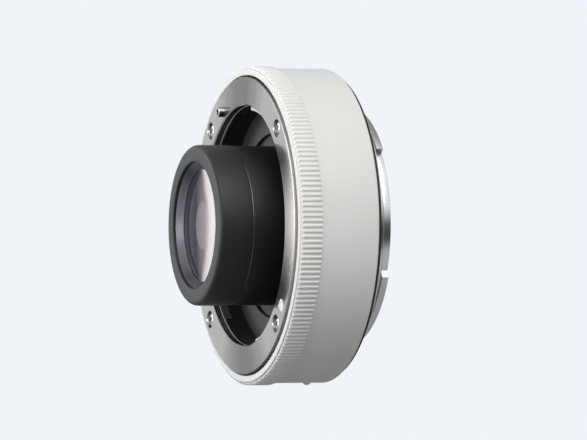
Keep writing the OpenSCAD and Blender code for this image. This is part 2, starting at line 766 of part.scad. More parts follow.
// Black light baffle with a rectangular window
module rear_baffle() {
    color(black) difference() {
        translate([0, 0, plate_z - baffle_t]) linear_extrude(baffle_t) difference() {
            circle(r = baffle_r);
            union() {
                square([baffle_w, baffle_h - 2 * baffle_corner], center = true);
                square([baffle_w - 2 * baffle_corner, baffle_h], center = true);
                for (x = [-1, 1], y = [-1, 1])
                    translate([x * (baffle_w / 2 - baffle_corner), y * (baffle_h / 2 - baffle_corner)])
                        circle(r = baffle_corner);
            }
        }
        arc(block_in_r - baffle_clear, baffle_r + 1, plate_z - baffle_t - 1, plate_z + 1,
            -block_half - 1, block_half + 1);
        for (angle = baffle_screw_angles)
            hole(small_screw[2] + 2 * pass, baffle_screw_r, angle, plate_z - baffle_t - 1, plate_z + 1);
    }
}

// Two screws that hold the baffle
module rear_baffle_screws() {
    color(steel)
        for (angle = baffle_screw_angles)
            at(baffle_screw_r, angle, plate_z - baffle_t) rotate([180, 0, 0]) screw(small_screw);
}

// Black block that guides the sprung contacts in the front cavity
module front_contact_block() {
    color(black) difference() {
        union() {
            arc(block_in_r, block_out_r, floor_z, block_top_z, -block_half, block_half);
            arc(plug_in_r, plug_out_r, web_back_z, floor_z + slip, -plug_half, plug_half);
        }
        for (i = [0 : contacts - 1]) {
            hole(contact_d + 2 * slip, contact_r, contact_angle(i), web_back_z - 1, block_top_z + 1);
            hole(contact_collar_d + 2 * slip, contact_r, contact_angle(i), web_back_z - 1, contact_shoulder_z);
        }
        for (side = [-1, 1]) {
            hole(small_screw[2] + 2 * pass, contact_r, side * block_screw_angle, floor_z - 1, block_top_z + 1);
            hole(small_screw[0] + 2 * pass, contact_r, side * block_screw_angle, front_head_z, block_top_z + 1);
        }
    }
}

// Two screws that hold the front contact block
module front_contact_screws() {
    color(steel)
        for (side = [-1, 1])
            at(contact_r, side * block_screw_angle, front_head_z) screw(small_screw);
}

// Sprung gold contact pins with a round tip and a collar
module contact_pins() {
    shank_l = pin_tip_z - contact_shoulder_z + slip;
    color(gold)
        for (i = [0 : contacts - 1])
            at(contact_r, contact_angle(i), contact_shoulder_z - slip - contact_collar_t) {
                cylinder(d = contact_collar_d, h = contact_collar_t);
                cylinder(d = contact_d, h = contact_collar_t + shank_l - contact_d / 2);
                translate([0, 0, contact_collar_t + shank_l - contact_d / 2]) sphere(d = contact_d);
            }
}

// One coil under each contact pin
contact_spring_l = contact_shoulder_z - slip - contact_collar_t - web_back_z - 2 * rest;
module contact_springs() {
    color(steel)
        for (i = [0 : contacts - 1])
            at(contact_r, contact_angle(i), web_back_z + rest)
                coil(contact_spring_d, contact_wire, contact_curls, contact_spring_l);
}

// Lock pin with a dimpled end, a collar and a tail inside its spring
module lock_pin() {
    dimple = 0.25;
    color(steel) at(pin_r, pin_angle, 0) rotate_extrude() polygon([[0, collar_z - pin_tail_l],
        [pin_tail_d / 2, collar_z - pin_tail_l], [pin_tail_d / 2, collar_z], [collar_d / 2, collar_z],
        [collar_d / 2, collar_z + collar_t], [pin_d / 2, collar_z + collar_t],
        [pin_d / 2, seat_to_seat + pin_out - dimple], [pin_d / 2 - dimple, seat_to_seat + pin_out],
        [dimple, seat_to_seat + pin_out], [0, seat_to_seat + pin_out - dimple]]);
}

// Coil that pushes the lock pin out
lock_spring_l = collar_z - plate_front_z - 2 * rest;
module lock_spring() {
    color(steel) at(pin_r, pin_angle, plate_front_z + rest)
        coil(spring_d, spring_wire, spring_curls, lock_spring_l);
}
echo(least_gap_of_the_lock_spring = least_coil_gap(spring_d, spring_wire, spring_curls, lock_spring_l));
echo(least_gap_of_a_contact_spring =
    least_coil_gap(contact_spring_d, contact_wire, contact_curls, contact_spring_l));

// Steel plate that joins the slider to the lock pin
module release_link() {
    color(steel) rotate([0, 0, pin_angle]) difference() {
        union() {
            translate([pin_r, 0, link_z]) cylinder(d = link_w, h = link_t);
            translate([pin_r, -tongue_w / 2, link_z]) cube([tongue_r - pin_r, tongue_w, link_t]);
        }
        translate([pin_r, 0, link_z - 1]) cylinder(d = pin_d + 2 * slip, h = link_t + 2);
    }
}

// Grooved release slider on the barrel
module release_slider() {
    groove_w = 0.5;
    groove_depth = 0.3;
    groove_step = slider_l / (slider_grooves + 1);
    color(white) rotate([0, 0, pin_angle]) difference() {
        intersection() {
            ring(slider_in_r, slider_out_r, slider_z, slider_z + slider_l);
            translate([0, -slider_w / 2, slider_z]) cube([2 * slider_out_r, slider_w, slider_l]);
        }
        for (k = [1 : slider_grooves])
            ring(slider_out_r - groove_depth, slider_out_r + 1, slider_z + k * groove_step - groove_w / 2,
                 slider_z + k * groove_step + groove_w / 2);
        translate([slider_in_r - 1, -tongue_w / 2 - rest, link_z - rest])
            cube([tongue_r - slider_in_r + 1 + rest, tongue_w + 2 * rest, link_t + 2 * rest]);
    }
}

// Lens barrel: nose tube in front, flange with ears behind the web, stepped bore for the glass
module lens_barrel() {
    flange_z = web_back_z - tube_flange_t;
    step_z = web_back_z - tube_flange_t / 2;
    color(black) difference() {
        union() {
            rotate_extrude() polygon([[stop_r, stop_back_z], [stop_r, stop_z], [lens_bore_r, stop_z],
                [lens_bore_r, seat_1_z], [front_lens_r + slip, seat_1_z],
                [front_lens_r + slip, retainer_back_z], [retainer_r + slip, retainer_back_z],
                [retainer_r + slip, tube_front_z],
                [tube_neck_r, tube_front_z], [tube_neck_r, sleeve_z], [tube_r, sleeve_z], [tube_r, step_z],
                [tube_tail_r, step_z], [tube_tail_r, tube_end_z], [lens_bore_r, tube_end_z],
                [lens_bore_r, stop_back_z]]);
            translate([0, 0, flange_z]) linear_extrude(tube_flange_t) difference() {
                union() {
                    circle(r = tube_flange_r);
                    for (k = [0 : 2])
                        rotate(60 + 120 * k) translate([tube_ear_r, 0]) circle(d = tube_ear_d);
                }
                circle(r = tube_tail_r - 0.5);
            }
        }
        for (k = [0 : 2])
            hole(flange_screw[2] + 2 * pass, tube_ear_r, 60 + 120 * k, flange_z - 1, web_back_z + 1);
    }
}

// Rubber sleeve over the nose, with a rounded front edge and a lip over the tube's end
module nose_sleeve() {
    rear_edge = 0.15;
    color(rubber) rotate_extrude() union() {
        polygon([[tube_neck_r + rest, sleeve_z], [nose_r - rear_edge, sleeve_z], [nose_r, sleeve_z + rear_edge],
            [nose_r, nose_z - sleeve_round], [nose_r - sleeve_round, nose_z - sleeve_round],
            [nose_r - sleeve_round, nose_z], [opening_r, nose_z], [opening_r, tube_front_z + rest],
            [tube_neck_r + rest, tube_front_z + rest]]);
        translate([nose_r - sleeve_round, nose_z - sleeve_round]) quarter(sleeve_round, 0);
    }
}

// Conical retaining ring in front of the first element
module front_retainer() {
    color(black) rotate_extrude() polygon([[front_clear_r, retainer_back_z], [retainer_r, retainer_back_z],
        [retainer_r, retainer_front_z], [retainer_front_r, retainer_front_z]]);
}

// Front element
module lens_1() {
    color(glass) lens(front_lens_r, apex_1, back_1, front_curve_1, rear_curve_1);
}

// Hollow element of the front cemented pair
module lens_2() {
    color(glass) lens(inner_lens_r, apex_2, back_2, -front_curve_2, -cement_curve_a);
}

// Round element of the front cemented pair
module lens_3() {
    color(glass) lens(inner_lens_r, apex_3, back_3, cement_curve_a, rear_curve_3);
}

// Ring that holds the front pair against the stop
module inner_retainer() {
    color(black) ring(stop_r, inner_lens_r, rim_2_z + rest, rim_2_z + rest + 1.3);
}

// Hollow element of the rear cemented pair
module lens_4() {
    color(glass) lens(inner_lens_r, apex_4, back_4, -front_curve_4, -cement_curve_b);
}

// Round element of the rear cemented pair
module lens_5() {
    color(glass) lens(inner_lens_r, apex_5, back_5, cement_curve_b, rear_curve_5);
}

// Last element
module lens_6() {
    color(glass) lens(inner_lens_r, apex_6, back_6, -front_curve_6, rear_curve_6);
}

// Thin spacer between the last two elements
module lens_spacer() {
    color(black) ring(spacer_in_r, inner_lens_r, spacer_low_z, spacer_top_z);
}

// Ring that holds the rear elements
module rear_retainer() {
    color(black) ring(rear_clear_r, inner_lens_r, tube_end_z, rear_retainer_z);
}

// Rubber ring that seals the lens barrel in the web
o_ring_d = 0.66;
module barrel_o_ring() {
    color(rubber) rotate_extrude()
        translate([tube_r + rest + o_ring_d / 2, (web_z + web_back_z) / 2]) circle(d = o_ring_d);
}

// Three screws that hold the lens barrel to the web
module lens_barrel_screws() {
    color(steel)
        for (k = [0 : 2])
            at(tube_ear_r, 60 + 120 * k, web_back_z - tube_flange_t) rotate([180, 0, 0]) screw(flange_screw);
}

// Ring-shaped circuit board on three posts, open where the lock passes
module main_board() {
    color(board_green) difference() {
        union() {
            arc(board_in_r, board_out_r, board_z, board_z + board_t, pin_angle + board_gap_half,
                pin_angle + 360 - board_gap_half);
            for (angle = board_post_angles)
                hole(board_post_d, board_post_r, angle, board_z + board_t - slip, web_back_z);
        }
        for (angle = board_post_angles)
            hole(small_screw[2] + 2 * pass, board_post_r, angle, board_z - 1, web_back_z + 1);
    }
}

// Chips on the rear face of the board
module board_chips() {
    color(black)
        for (k = [0 : len(chip_angles) - 1])
            at(board_post_r - 0.8, chip_angles[k], board_z - chip_sizes[k].z)
                translate([-chip_sizes[k].x / 2, -chip_sizes[k].y / 2, 0]) cube(chip_sizes[k]);
}

// Three screws that hold the board
module board_screws() {
    color(steel)
        for (angle = board_post_angles)
            at(board_post_r, angle, board_z) rotate([180, 0, 0])
                screw([small_screw[0], small_screw[1], small_screw[2], web_back_z - board_z + 1]);
}

// Flexible circuit from the sprung contacts to the board
module front_flex() {
    color(brass) union() {
        arc(plug_in_r, plug_out_r, web_back_z - flex_t, web_back_z, -plug_half, plug_half);
        translate([0, flex_w / 2, 0]) rotate([90, 0, 0]) linear_extrude(flex_w) polygon([
            [contact_r, web_back_z], [contact_r, web_back_z - flex_t],
            [front_flex_r - flex_t, web_back_z - flex_t], [front_flex_r - flex_t, board_z + board_t],
            [front_flex_r, board_z + board_t], [front_flex_r, web_back_z]]);
    }
}

// Flexible circuit from the board to the rear contacts
module rear_flex() {
    color(brass) translate([rear_flex_x - flex_t / 2, -flex_w / 2, plate_z])
        cube([flex_t, flex_w, board_z - plate_z]);
}

in_frame() front_mount_ring();
in_frame() front_mount_screws();
in_frame() front_index_dot();
in_frame() mount_springs();
in_frame() front_chassis();
in_frame() cavity_floor();
in_frame() grip_ring();
in_frame() outer_barrel();
in_frame() index_bead();
in_frame() rear_seal();
in_frame() rear_chassis();
in_frame() chassis_screws();
in_frame() mount_shim();
in_frame() rear_bayonet();
in_frame() rear_bayonet_screws();
in_frame() rear_contact_block();
in_frame() rear_contact_pads();
in_frame() rear_contact_screws();
in_frame() rear_baffle();
in_frame() rear_baffle_screws();
in_frame() front_contact_block();
in_frame() front_contact_screws();
in_frame() contact_pins();
in_frame() contact_springs();
in_frame() lock_pin();
in_frame() lock_spring();
in_frame() release_link();
in_frame() release_slider();
in_frame() lens_barrel();
in_frame() nose_sleeve();
in_frame() front_retainer();
in_frame() lens_1();
in_frame() lens_2();
in_frame() lens_3();
in_frame() inner_retainer();
in_frame() lens_4();
in_frame() lens_5();
in_frame() lens_6();
in_frame() lens_spacer();
in_frame() rear_retainer();
in_frame() barrel_o_ring();
in_frame() lens_barrel_screws();
in_frame() main_board();
in_frame() board_chips();
in_frame() board_screws();
in_frame() front_flex();
in_frame() rear_flex();
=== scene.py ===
"""Looks of a white camera teleconverter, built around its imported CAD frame.

Lengths are written in millimetres and turned into metres where they meet Blender. A height h is the distance
forward from the rear seat, so it lies at Y = -h, and angles are seen from the front, counted from +X towards +Z.
"""

import logging
import math
from abc import ABC, abstractmethod
from dataclasses import dataclass, field
from enum import Enum, IntEnum
from typing import Any, Callable, Iterable, Optional, Sequence, Union

import bmesh
import bpy
from mathutils import Matrix, Vector


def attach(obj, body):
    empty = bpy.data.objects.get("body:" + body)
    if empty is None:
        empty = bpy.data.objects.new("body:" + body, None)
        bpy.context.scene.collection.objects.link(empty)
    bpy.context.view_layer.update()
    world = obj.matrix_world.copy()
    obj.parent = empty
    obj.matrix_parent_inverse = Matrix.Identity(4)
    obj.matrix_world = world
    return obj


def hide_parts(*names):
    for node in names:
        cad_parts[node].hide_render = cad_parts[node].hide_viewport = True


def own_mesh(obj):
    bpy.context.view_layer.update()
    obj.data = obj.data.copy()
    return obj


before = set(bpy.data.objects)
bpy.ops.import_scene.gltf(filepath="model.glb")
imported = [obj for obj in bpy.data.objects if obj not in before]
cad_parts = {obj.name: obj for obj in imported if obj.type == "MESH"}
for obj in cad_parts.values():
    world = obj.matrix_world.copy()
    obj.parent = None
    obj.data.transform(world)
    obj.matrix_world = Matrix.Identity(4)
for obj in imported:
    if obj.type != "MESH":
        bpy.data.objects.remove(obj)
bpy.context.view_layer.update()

log = logging.getLogger("teleconverter")

MM = 0.001
MICRON = 1e-6
Colour = tuple[float, float, float, float]
Piece = bpy.types.Object


def srgb(red: int, green: int, blue: int) -> Colour:
    """Turn a colour as it is seen on screen, in levels up to 255, into the linear one that a shader takes."""
    shares = [level / 255 for level in (red, green, blue)]
    linear = [share / 12.92 if share <= 0.04045 else ((share + 0.055) / 1.055) ** 2.4 for share in shares]
    return (linear[0], linear[1], linear[2], 1.0)


def grey(level: float) -> Colour:
    """Give a grey of a linear level."""
    return (level, level, level, 1.0)


class Body(Enum):
    """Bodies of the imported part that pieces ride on."""

    FIXED = "body"
    RELEASE = "release"
    LOCK_PIN = "lock_pin"


class Steps(IntEnum):
    """Points round a turned piece, by its size on the part."""

    SCREW = 36
    BEAD = 40
    SMALL = 48
    TUBE = 200
    RING = 240
    CLAW = 288
    SHELL = 360
    ARC = 720


def operator(operation: str) -> Callable[["Socket", "Number"], "Socket"]:
    """Make the method of a socket that adds a Math node for an operation with another value."""
    return lambda first, second: first.recipe.math(operation, first, second)


class Socket:
    """One output of a material's nodes, which takes part in Python expressions."""

    def __init__(self, recipe: "Recipe", socket: bpy.types.NodeSocket) -> None:
        """Keep the socket and the recipe that it belongs to."""
        self.recipe = recipe
        self.socket = socket

    __add__ = __radd__ = operator("ADD")
    __sub__ = operator("SUBTRACT")
    __mul__ = operator("MULTIPLY")
    __truediv__ = operator("DIVIDE")

    def __rsub__(self, other: float) -> "Socket":
        """Be taken away from a number."""
        return self.recipe.math("SUBTRACT", other, self)


Number = Union[Socket, float]


class Recipe:
    """Node tree of one material or of the world, built step by step."""

    def __init__(self, tree: bpy.types.NodeTree) -> None:
        """Start from an empty tree."""
        self.tree = tree
        self.tree.nodes.clear()

    def node(self, kind: str, inputs: Optional[dict[Any, Any]] = None, **settings: Any) -> bpy.types.Node:
        """Add one node.

        Args:
            kind: the node's Blender type.
            inputs: values or sockets by input name or number.
            settings: the node's properties, which are set first.

        Returns:
            The new node.
        """
        item = self.tree.nodes.new(kind)
        for key, value in settings.items():
            setattr(item, key, value)
        for key, value in (inputs or {}).items():
            if isinstance(value, Socket):
                self.tree.links.new(value.socket, item.inputs[key])
            else:
                item.inputs[key].default_value = value
        return item

    def out(self, item: bpy.types.Node, key: Union[str, int] = 0) -> Socket:
        """Give one output of a node as a socket."""
        return Socket(self, item.outputs[key])

    def math(self, operation: str, *values: Number) -> Socket:
        """Add a Math node for an operation on values."""
        return self.out(self.node("ShaderNodeMath", dict(enumerate(values)), operation=operation))

    def place(self) -> Socket:
        """Give the Object coordinates of the piece."""
        return self.out(self.node("ShaderNodeTexCoord"), "Object")

    def axes(self, vector: Optional[Socket] = None) -> tuple[Socket, Socket, Socket]:
        """Split a vector, or else the Object coordinates in metres, into X, Y and Z."""
        parts = self.node("ShaderNodeSeparateXYZ", {0: vector or self.place()})
        return self.out(parts, "X"), self.out(parts, "Y"), self.out(parts, "Z")

    def radius(self) -> Socket:
        """Give the distance from the optical axis, in metres."""
        across, _, up = self.axes()
        return self.math("SQRT", across * across + up * up)

    def profile(self) -> Socket:
        """Give a distance that grows along a turned profile, in metres: radius and height together."""
        return self.radius() + (0.0 - self.axes()[1])

    def noise(self, size: float, detail: float = 2.0, rough: float = 0.5) -> Socket:
        """Give a cloudy value from 0 to 1, of a size in millimetres, with layers of finer clouds and their weight."""
        return self.out(self.node("ShaderNodeTexNoise", {
            "Vector": self.place(), "Scale": 1 / (size * MM), "Detail": detail, "Roughness": rough}))

    def lines(self, along: Socket, size: float, detail: float) -> Socket:
        """Give a value from 0 to 1 that changes along a distance only, as tool marks of a size in millimetres do."""
        return self.out(self.node("ShaderNodeTexNoise", {
            "W": along, "Scale": 1 / (size * MM), "Detail": detail, "Roughness": 0.6}, noise_dimensions="1D"))

    def blend(self, factor: Number, first: Any, second: Any) -> Socket:
        """Mix two colours by a factor."""
        return self.out(self.node("ShaderNodeMix", {0: factor, 6: first, 7: second}, data_type="RGBA"), 2)

    def mix(self, factor: Number, first: bpy.types.Node, second: bpy.types.Node) -> bpy.types.Node:
        """Mix two shaders by a factor."""
        return self.node("ShaderNodeMixShader", {0: factor, 1: self.out(first), 2: self.out(second)})

    def spread(self, value: Socket, low: float, high: float) -> Socket:
        """Stretch a value so that low becomes 0 and high becomes 1, and hold it there."""
        return self.out(self.node("ShaderNodeMapRange", {0: value, 1: low, 2: high, 3: 0.0, 4: 1.0}, clamp=True))

    def vary(self, base: Number, value: Socket, amount: float) -> Socket:
        """Let a value from 0 to 1 move a base up and down by half an amount."""
        return (value - 0.5) * amount + base

    def bump(self, height: Socket, depth: float, strength: float) -> Socket:
        """Turn a height from 0 to 1, for a relief of a depth in micrometres, into a bent normal."""
        return self.out(self.node("ShaderNodeBump", {
            "Height": height, "Distance": depth * MICRON, "Strength": strength}))

    def turned(self) -> tuple[Socket, Socket, Socket]:
        """Give what turning leaves on metal: coarse marks, fine marks and the normal that they bend."""
        along = self.profile()
        marks, fine = self.lines(along, 0.16, 3.0), self.lines(along, 0.05, 2.0)
        return marks, fine, self.bump(marks + fine * 0.5, 1.2, 0.5)

    def dusty(self, mark_size: float) -> tuple[Socket, Socket]:
        """Give the dust on a coat over turned metal, and the normal that dust and marks bend."""
        dust = self.noise(0.4, 4.0, 0.7)
        marks = self.lines(self.profile(), mark_size, 2.0)
        return dust, self.bump(marks + dust * 0.3, 2.0, 0.5)


@dataclass(frozen=True)
class Finish(ABC):
    """Surface finish that turns itself into one shared material."""

    name: str
    slot: str
    colour: Colour
    shade: Colour
    roughness: float

    def material(self) -> bpy.types.Material:
        """Give the finish's material, and make it the first time."""
        name = self.name + "_finish"
        found = bpy.data.materials.get(name)
        if found is not None:
            return found
        made = bpy.data.materials.new(name)
        made.use_nodes = True
        recipe = Recipe(made.node_tree)
        shader = recipe.node("ShaderNodeBsdfPrincipled", self.inputs(recipe))
        recipe.node("ShaderNodeOutputMaterial", {"Surface": recipe.out(shader)})
        return made

    @abstractmethod
    def inputs(self, recipe: Recipe) -> dict[str, Any]:
        """Give the shader's inputs, made with a recipe."""

    def dress(self, *nodes: str) -> None:
        """Put the finish on CAD nodes by name."""
        for node in nodes:
            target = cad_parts[node]
            target.data.materials.clear()
            target.data.materials.append(self.material())


@dataclass(frozen=True)
class SatinPaint(Finish):
    """Sprayed paint with a faint orange peel and a slight change of tone."""

    def inputs(self, recipe: Recipe) -> dict[str, Any]:
        """Give the paint's inputs."""
        peel = recipe.noise(0.32) + recipe.noise(0.09, 1.0) * 0.5
        return {
            "Base Color": recipe.blend(recipe.noise(9.0), self.colour, self.shade),
            "Roughness": recipe.vary(self.roughness, recipe.noise(1.5), 0.06),
            "Specular IOR Level": 0.15,
            "Normal": recipe.bump(peel, 4.0, 0.35),
        }


@dataclass(frozen=True)
class TurnedMetal(Finish):
    """Bare metal with fine rings left by turning."""

    def inputs(self, recipe: Recipe) -> dict[str, Any]:
        """Give the metal's inputs."""
        marks, fine, normal = recipe.turned()
        tone = recipe.noise(5.0)
        return {
            "Base Color": recipe.blend(tone * 0.5 + marks * 0.5, self.colour, self.shade),
            "Metallic": 1.0,
            "Roughness": recipe.vary(self.roughness, fine, 0.08),
            "Normal": normal,
        }


@dataclass(frozen=True)
class TurnedFace(Finish):
    """Flat turned face: fine rings, painted shade at top and bottom and a pale, softer painted reflection beside the
    nose.
    """

    # colours of the painted shade at top and bottom and of the painted reflection beside the nose
    painted_sector_shade: Colour
    pale: Colour

    def inputs(self, recipe: Recipe) -> dict[str, Any]:
        """Give the face's inputs."""
        across, _, up = recipe.axes()
        turn = recipe.math("ARCTAN2", up, across)
        marks, fine, normal = recipe.turned()
        streak = recipe.out(recipe.node("ShaderNodeTexNoise", {
            "W": turn, "Scale": 9.0, "Detail": 3.0}, noise_dimensions="1D"))
        # painted shade: the top and bottom sectors take the darker warm colour in place of reflection
        level = 0.0 - recipe.math("COSINE", turn * 2.0 - 0.1)
        painted_shade_mask = recipe.spread(recipe.vary(level, streak, 0.08), 0.55, 1.0)
        # painted reflection: beside the nose the face turns pale, less metallic and rougher
        painted_reflection_mask = 1.0 - recipe.spread(recipe.math("ABSOLUTE", turn - 0.02), 0.08, 0.5)
        colour = recipe.blend(marks * 0.8 + streak * 0.2, self.colour, self.shade)
        colour = recipe.blend(painted_shade_mask, colour, self.painted_sector_shade)
        return {
            "Base Color": recipe.blend(painted_reflection_mask, colour, self.pale),
            "Metallic": 0.92 - painted_reflection_mask * 0.5,
            "Roughness": recipe.vary(self.roughness, fine, 0.06) + painted_reflection_mask * 0.2,
            "Normal": normal,
        }


@dataclass(frozen=True)
class Rubber(Finish):
    """Moulded rubber with a fine grain and a dusty sheen."""

    def inputs(self, recipe: Recipe) -> dict[str, Any]:
        """Give the rubber's inputs."""
        grain = recipe.noise(0.12, 3.0, 0.6)
        return {
            "Base Color": recipe.blend(recipe.noise(2.5, 3.0), self.colour, self.shade),
            "Roughness": recipe.vary(self.roughness, grain, 0.12),
            "Specular IOR Level": 0.43,
            "Normal": recipe.bump(grain, 9.0, 0.35),
        }


@dataclass(frozen=True)
class BlackCoat(Finish):
    """Black anodising or paint over turned metal."""

    def inputs(self, recipe: Recipe) -> dict[str, Any]:
        """Give the coat's inputs."""
        dust, normal = recipe.dusty(0.12)
        return {
            "Base Color": recipe.blend(recipe.spread(dust, 0.45, 0.75), self.colour, self.shade),
            "Roughness": recipe.vary(self.roughness, dust, 0.1),
            "Normal": normal,
        }


@dataclass(frozen=True)
class PaintedHighlightCoat(Finish):
    """Coat over metal with a painted highlight: on one side of the optical axis it turns to its shade and to metal.

    The side is an angle in degrees, and low and high are cosines of the angle from it.
    """

    side: float
    low: float
    high: float
    metallic: float

    def inputs(self, recipe: Recipe) -> dict[str, Any]:
        """Give the coat's inputs."""
        across, _, up = recipe.axes()
        turn = math.radians(self.side)
        towards = (across * math.cos(turn) + up * math.sin(turn)) / recipe.radius()
        dust, normal = recipe.dusty(0.2)
        # painted highlight towards the side's angle, broken up a little by dust
        painted_highlight_mask = recipe.spread(recipe.vary(towards, dust, 0.1), self.low, self.high)
        return {
            "Base Color": recipe.blend(painted_highlight_mask, self.colour, self.shade),
            "Metallic": painted_highlight_mask * self.metallic,
            "Roughness": recipe.vary(self.roughness, dust, 0.1),
            "Normal": normal,
        }


@dataclass(frozen=True)
class Moulded(Finish):
    """Moulded plastic or enamel with a fine grain, whose depth is in micrometres."""

    grain_depth: float = 6.0

    def inputs(self, recipe: Recipe) -> dict[str, Any]:
        """Give the plastic's inputs."""
        grain = recipe.noise(0.1, 3.0, 0.6)
        return {
            "Base Color": recipe.blend(recipe.noise(1.2, 3.0), self.colour, self.shade),
            "Roughness": recipe.vary(self.roughness, grain, 0.1),
            "Normal": recipe.bump(grain, self.grain_depth, 0.4),
        }


@dataclass(frozen=True)
class CoatedGlass(Finish):
    """Dark coated glass with painted reflections: a disc of its shade, a little see-through, and a pale glow along
    one side.
    """

    glow: Colour
    edge: Colour
    disc_r: float = 4.65
    disc_x: float = 2.6
    disc_blur: float = 0.3

    def inputs(self, recipe: Recipe) -> dict[str, Any]:
        """Give the glass's inputs."""
        across, _, up = recipe.axes()
        across, up = across / MM, up / MM
        side = (across - self.disc_x) * 1.6
        away = recipe.math("SQRT", side * side + up * up)
        painted_reflection_disc = 1.0 - recipe.spread(away, self.disc_r - self.disc_blur, self.disc_r + self.disc_blur)
        cloud = recipe.noise(1.6, 3.0)
        side = recipe.vary(across, cloud, 0.9)
        painted_highlight_rim = side + up * up * 0.05
        streak = recipe.math("SINE", painted_highlight_rim * 4.2) * 0.5 + 0.5
        # painted reflections: a lighter disc, a pale glow along the near side and a streaked bright rim
        colour = recipe.blend(painted_reflection_disc, self.colour, self.shade)
        colour = recipe.blend(recipe.spread(side + up * up * 0.02, -0.5, 6.0), colour, self.glow)
        colour = recipe.blend(recipe.spread(painted_highlight_rim, 4.7, 7.0) * (streak * 0.15 + 0.85), colour, self.edge)
        return {
            "Base Color": colour,
            "Roughness": cloud * 0.06 + self.roughness,
            "Specular IOR Level": 0.02,
            "Alpha": painted_reflection_disc * 0.1 + 0.9,
        }


@dataclass(frozen=True)
class Finishes:
    """All finishes of the part."""

    white: Finish = SatinPaint("white_paint", "white_paint", srgb(239, 239, 236), srgb(235, 235, 232), 0.52)
    index: Finish = Moulded("index_enamel", "index_white", srgb(250, 249, 246), srgb(244, 243, 240), 0.3, 2.0)
    # the ring's warm tone is painted shade at top and bottom, its pale tone a painted reflection beside the nose
    ring: Finish = TurnedFace("ring_steel", "bright_steel", srgb(184, 180, 177), srgb(172, 168, 165), 0.16,
                              painted_sector_shade=srgb(112, 105, 100), pale=srgb(226, 222, 219))
    bayonet: Finish = TurnedMetal("bayonet_steel", "bright_steel", srgb(238, 237, 235), srgb(224, 223, 221), 0.2)
    claw: Finish = TurnedMetal("claw_steel", "bright_steel", srgb(214, 212, 209), srgb(196, 194, 192), 0.24)
    screw: Finish = TurnedMetal("screw_steel", "screw_steel", srgb(204, 202, 199), srgb(178, 176, 173), 0.24)
    pin: Finish = TurnedMetal("pin_steel", "pin_steel", srgb(182, 180, 177), srgb(156, 154, 152), 0.26)
    spring: Finish = TurnedMetal("spring_steel", "spring_steel", srgb(128, 126, 124), srgb(108, 106, 105), 0.3)
    # the leaf springs carry a painted highlight on their lower left side
    leaf: Finish = PaintedHighlightCoat("leaf_steel", "spring_steel", srgb(50, 49, 48), srgb(178, 174, 170), 0.3,
                             side=215.0, low=0.5, high=0.95, metallic=1.0)
    # the tube's edge is dark with a painted highlight on the near side
    tube_edge: Finish = PaintedHighlightCoat("edge_painted_highlight", "black_metal", srgb(15, 15, 16), srgb(168, 166, 164), 0.34,
                                  side=0.0, low=0.6, high=0.95, metallic=1.0)
    # the retaining ring's cone carries a painted highlight on its far side
    retainer: Finish = PaintedHighlightCoat("retainer_coat", "black_metal", srgb(16, 16, 18), srgb(108, 108, 116), 0.36,
                                 side=180.0, low=0.5, high=1.0, metallic=0.0)
    # the ring's edge band: its dark colour is painted shade, its shade a painted highlight on the near side
    edge: Finish = PaintedHighlightCoat("ring_edge_painted_shade", "black_metal", srgb(60, 59, 59), srgb(158, 156, 153), 0.5,
                             side=0.0, low=0.35, high=0.95, metallic=0.0)
    rubber: Finish = Rubber("nose_rubber", "rubber", srgb(19, 21, 20), srgb(25, 27, 26), 0.52)
    seal: Finish = Rubber("seal_rubber", "rubber", srgb(26, 27, 27), srgb(34, 35, 35), 0.6)
    anodised: Finish = BlackCoat("black_anodising", "black_metal", srgb(14, 14, 15), srgb(22, 22, 23), 0.48)
    flat_black: Finish = BlackCoat("flat_black_paint", "black_metal", srgb(26, 26, 27), srgb(38, 38, 39), 0.6)
    plastic: Finish = Moulded("black_moulding", "black_plastic", srgb(36, 37, 37), srgb(46, 47, 47), 0.55)
    # the glass's shade, glow and edge colours are painted reflections
    glass: Finish = CoatedGlass("front_glass", "coated_glass", srgb(58, 58, 70), srgb(114, 116, 114), 0.05,
                                glow=srgb(178, 160, 169), edge=srgb(252, 249, 250))
    inner_glass: Finish = CoatedGlass("inner_glass", "coated_glass", srgb(44, 46, 60), srgb(84, 96, 92), 0.05,
                                      glow=srgb(96, 84, 110), edge=srgb(130, 120, 140))
    gold: Finish = TurnedMetal("contact_gold", "contact_gold", srgb(228, 190, 112), srgb(206, 166, 90), 0.2)
    brass: Finish = TurnedMetal("shim_brass", "shim_brass", srgb(204, 176, 112), srgb(186, 156, 94), 0.3)
    board: Finish = Moulded("solder_mask", "board", srgb(28, 66, 44), srgb(36, 78, 54), 0.35)
    film: Finish = Moulded("amber_film", "flex", srgb(150, 96, 40), srgb(164, 108, 48), 0.3)


FINISHES = Finishes()


@dataclass(frozen=True)
class Corner:
    """Corner of a turned profile: radius, height and rounding, in millimetres."""

    r: float
    h: float
    fillet: float = 0.0

    def spot(self) -> Vector:
        """Give the corner's place in the profile's plane."""
        return Vector((self.r, self.h))


Profile = Sequence[tuple[float, ...]]


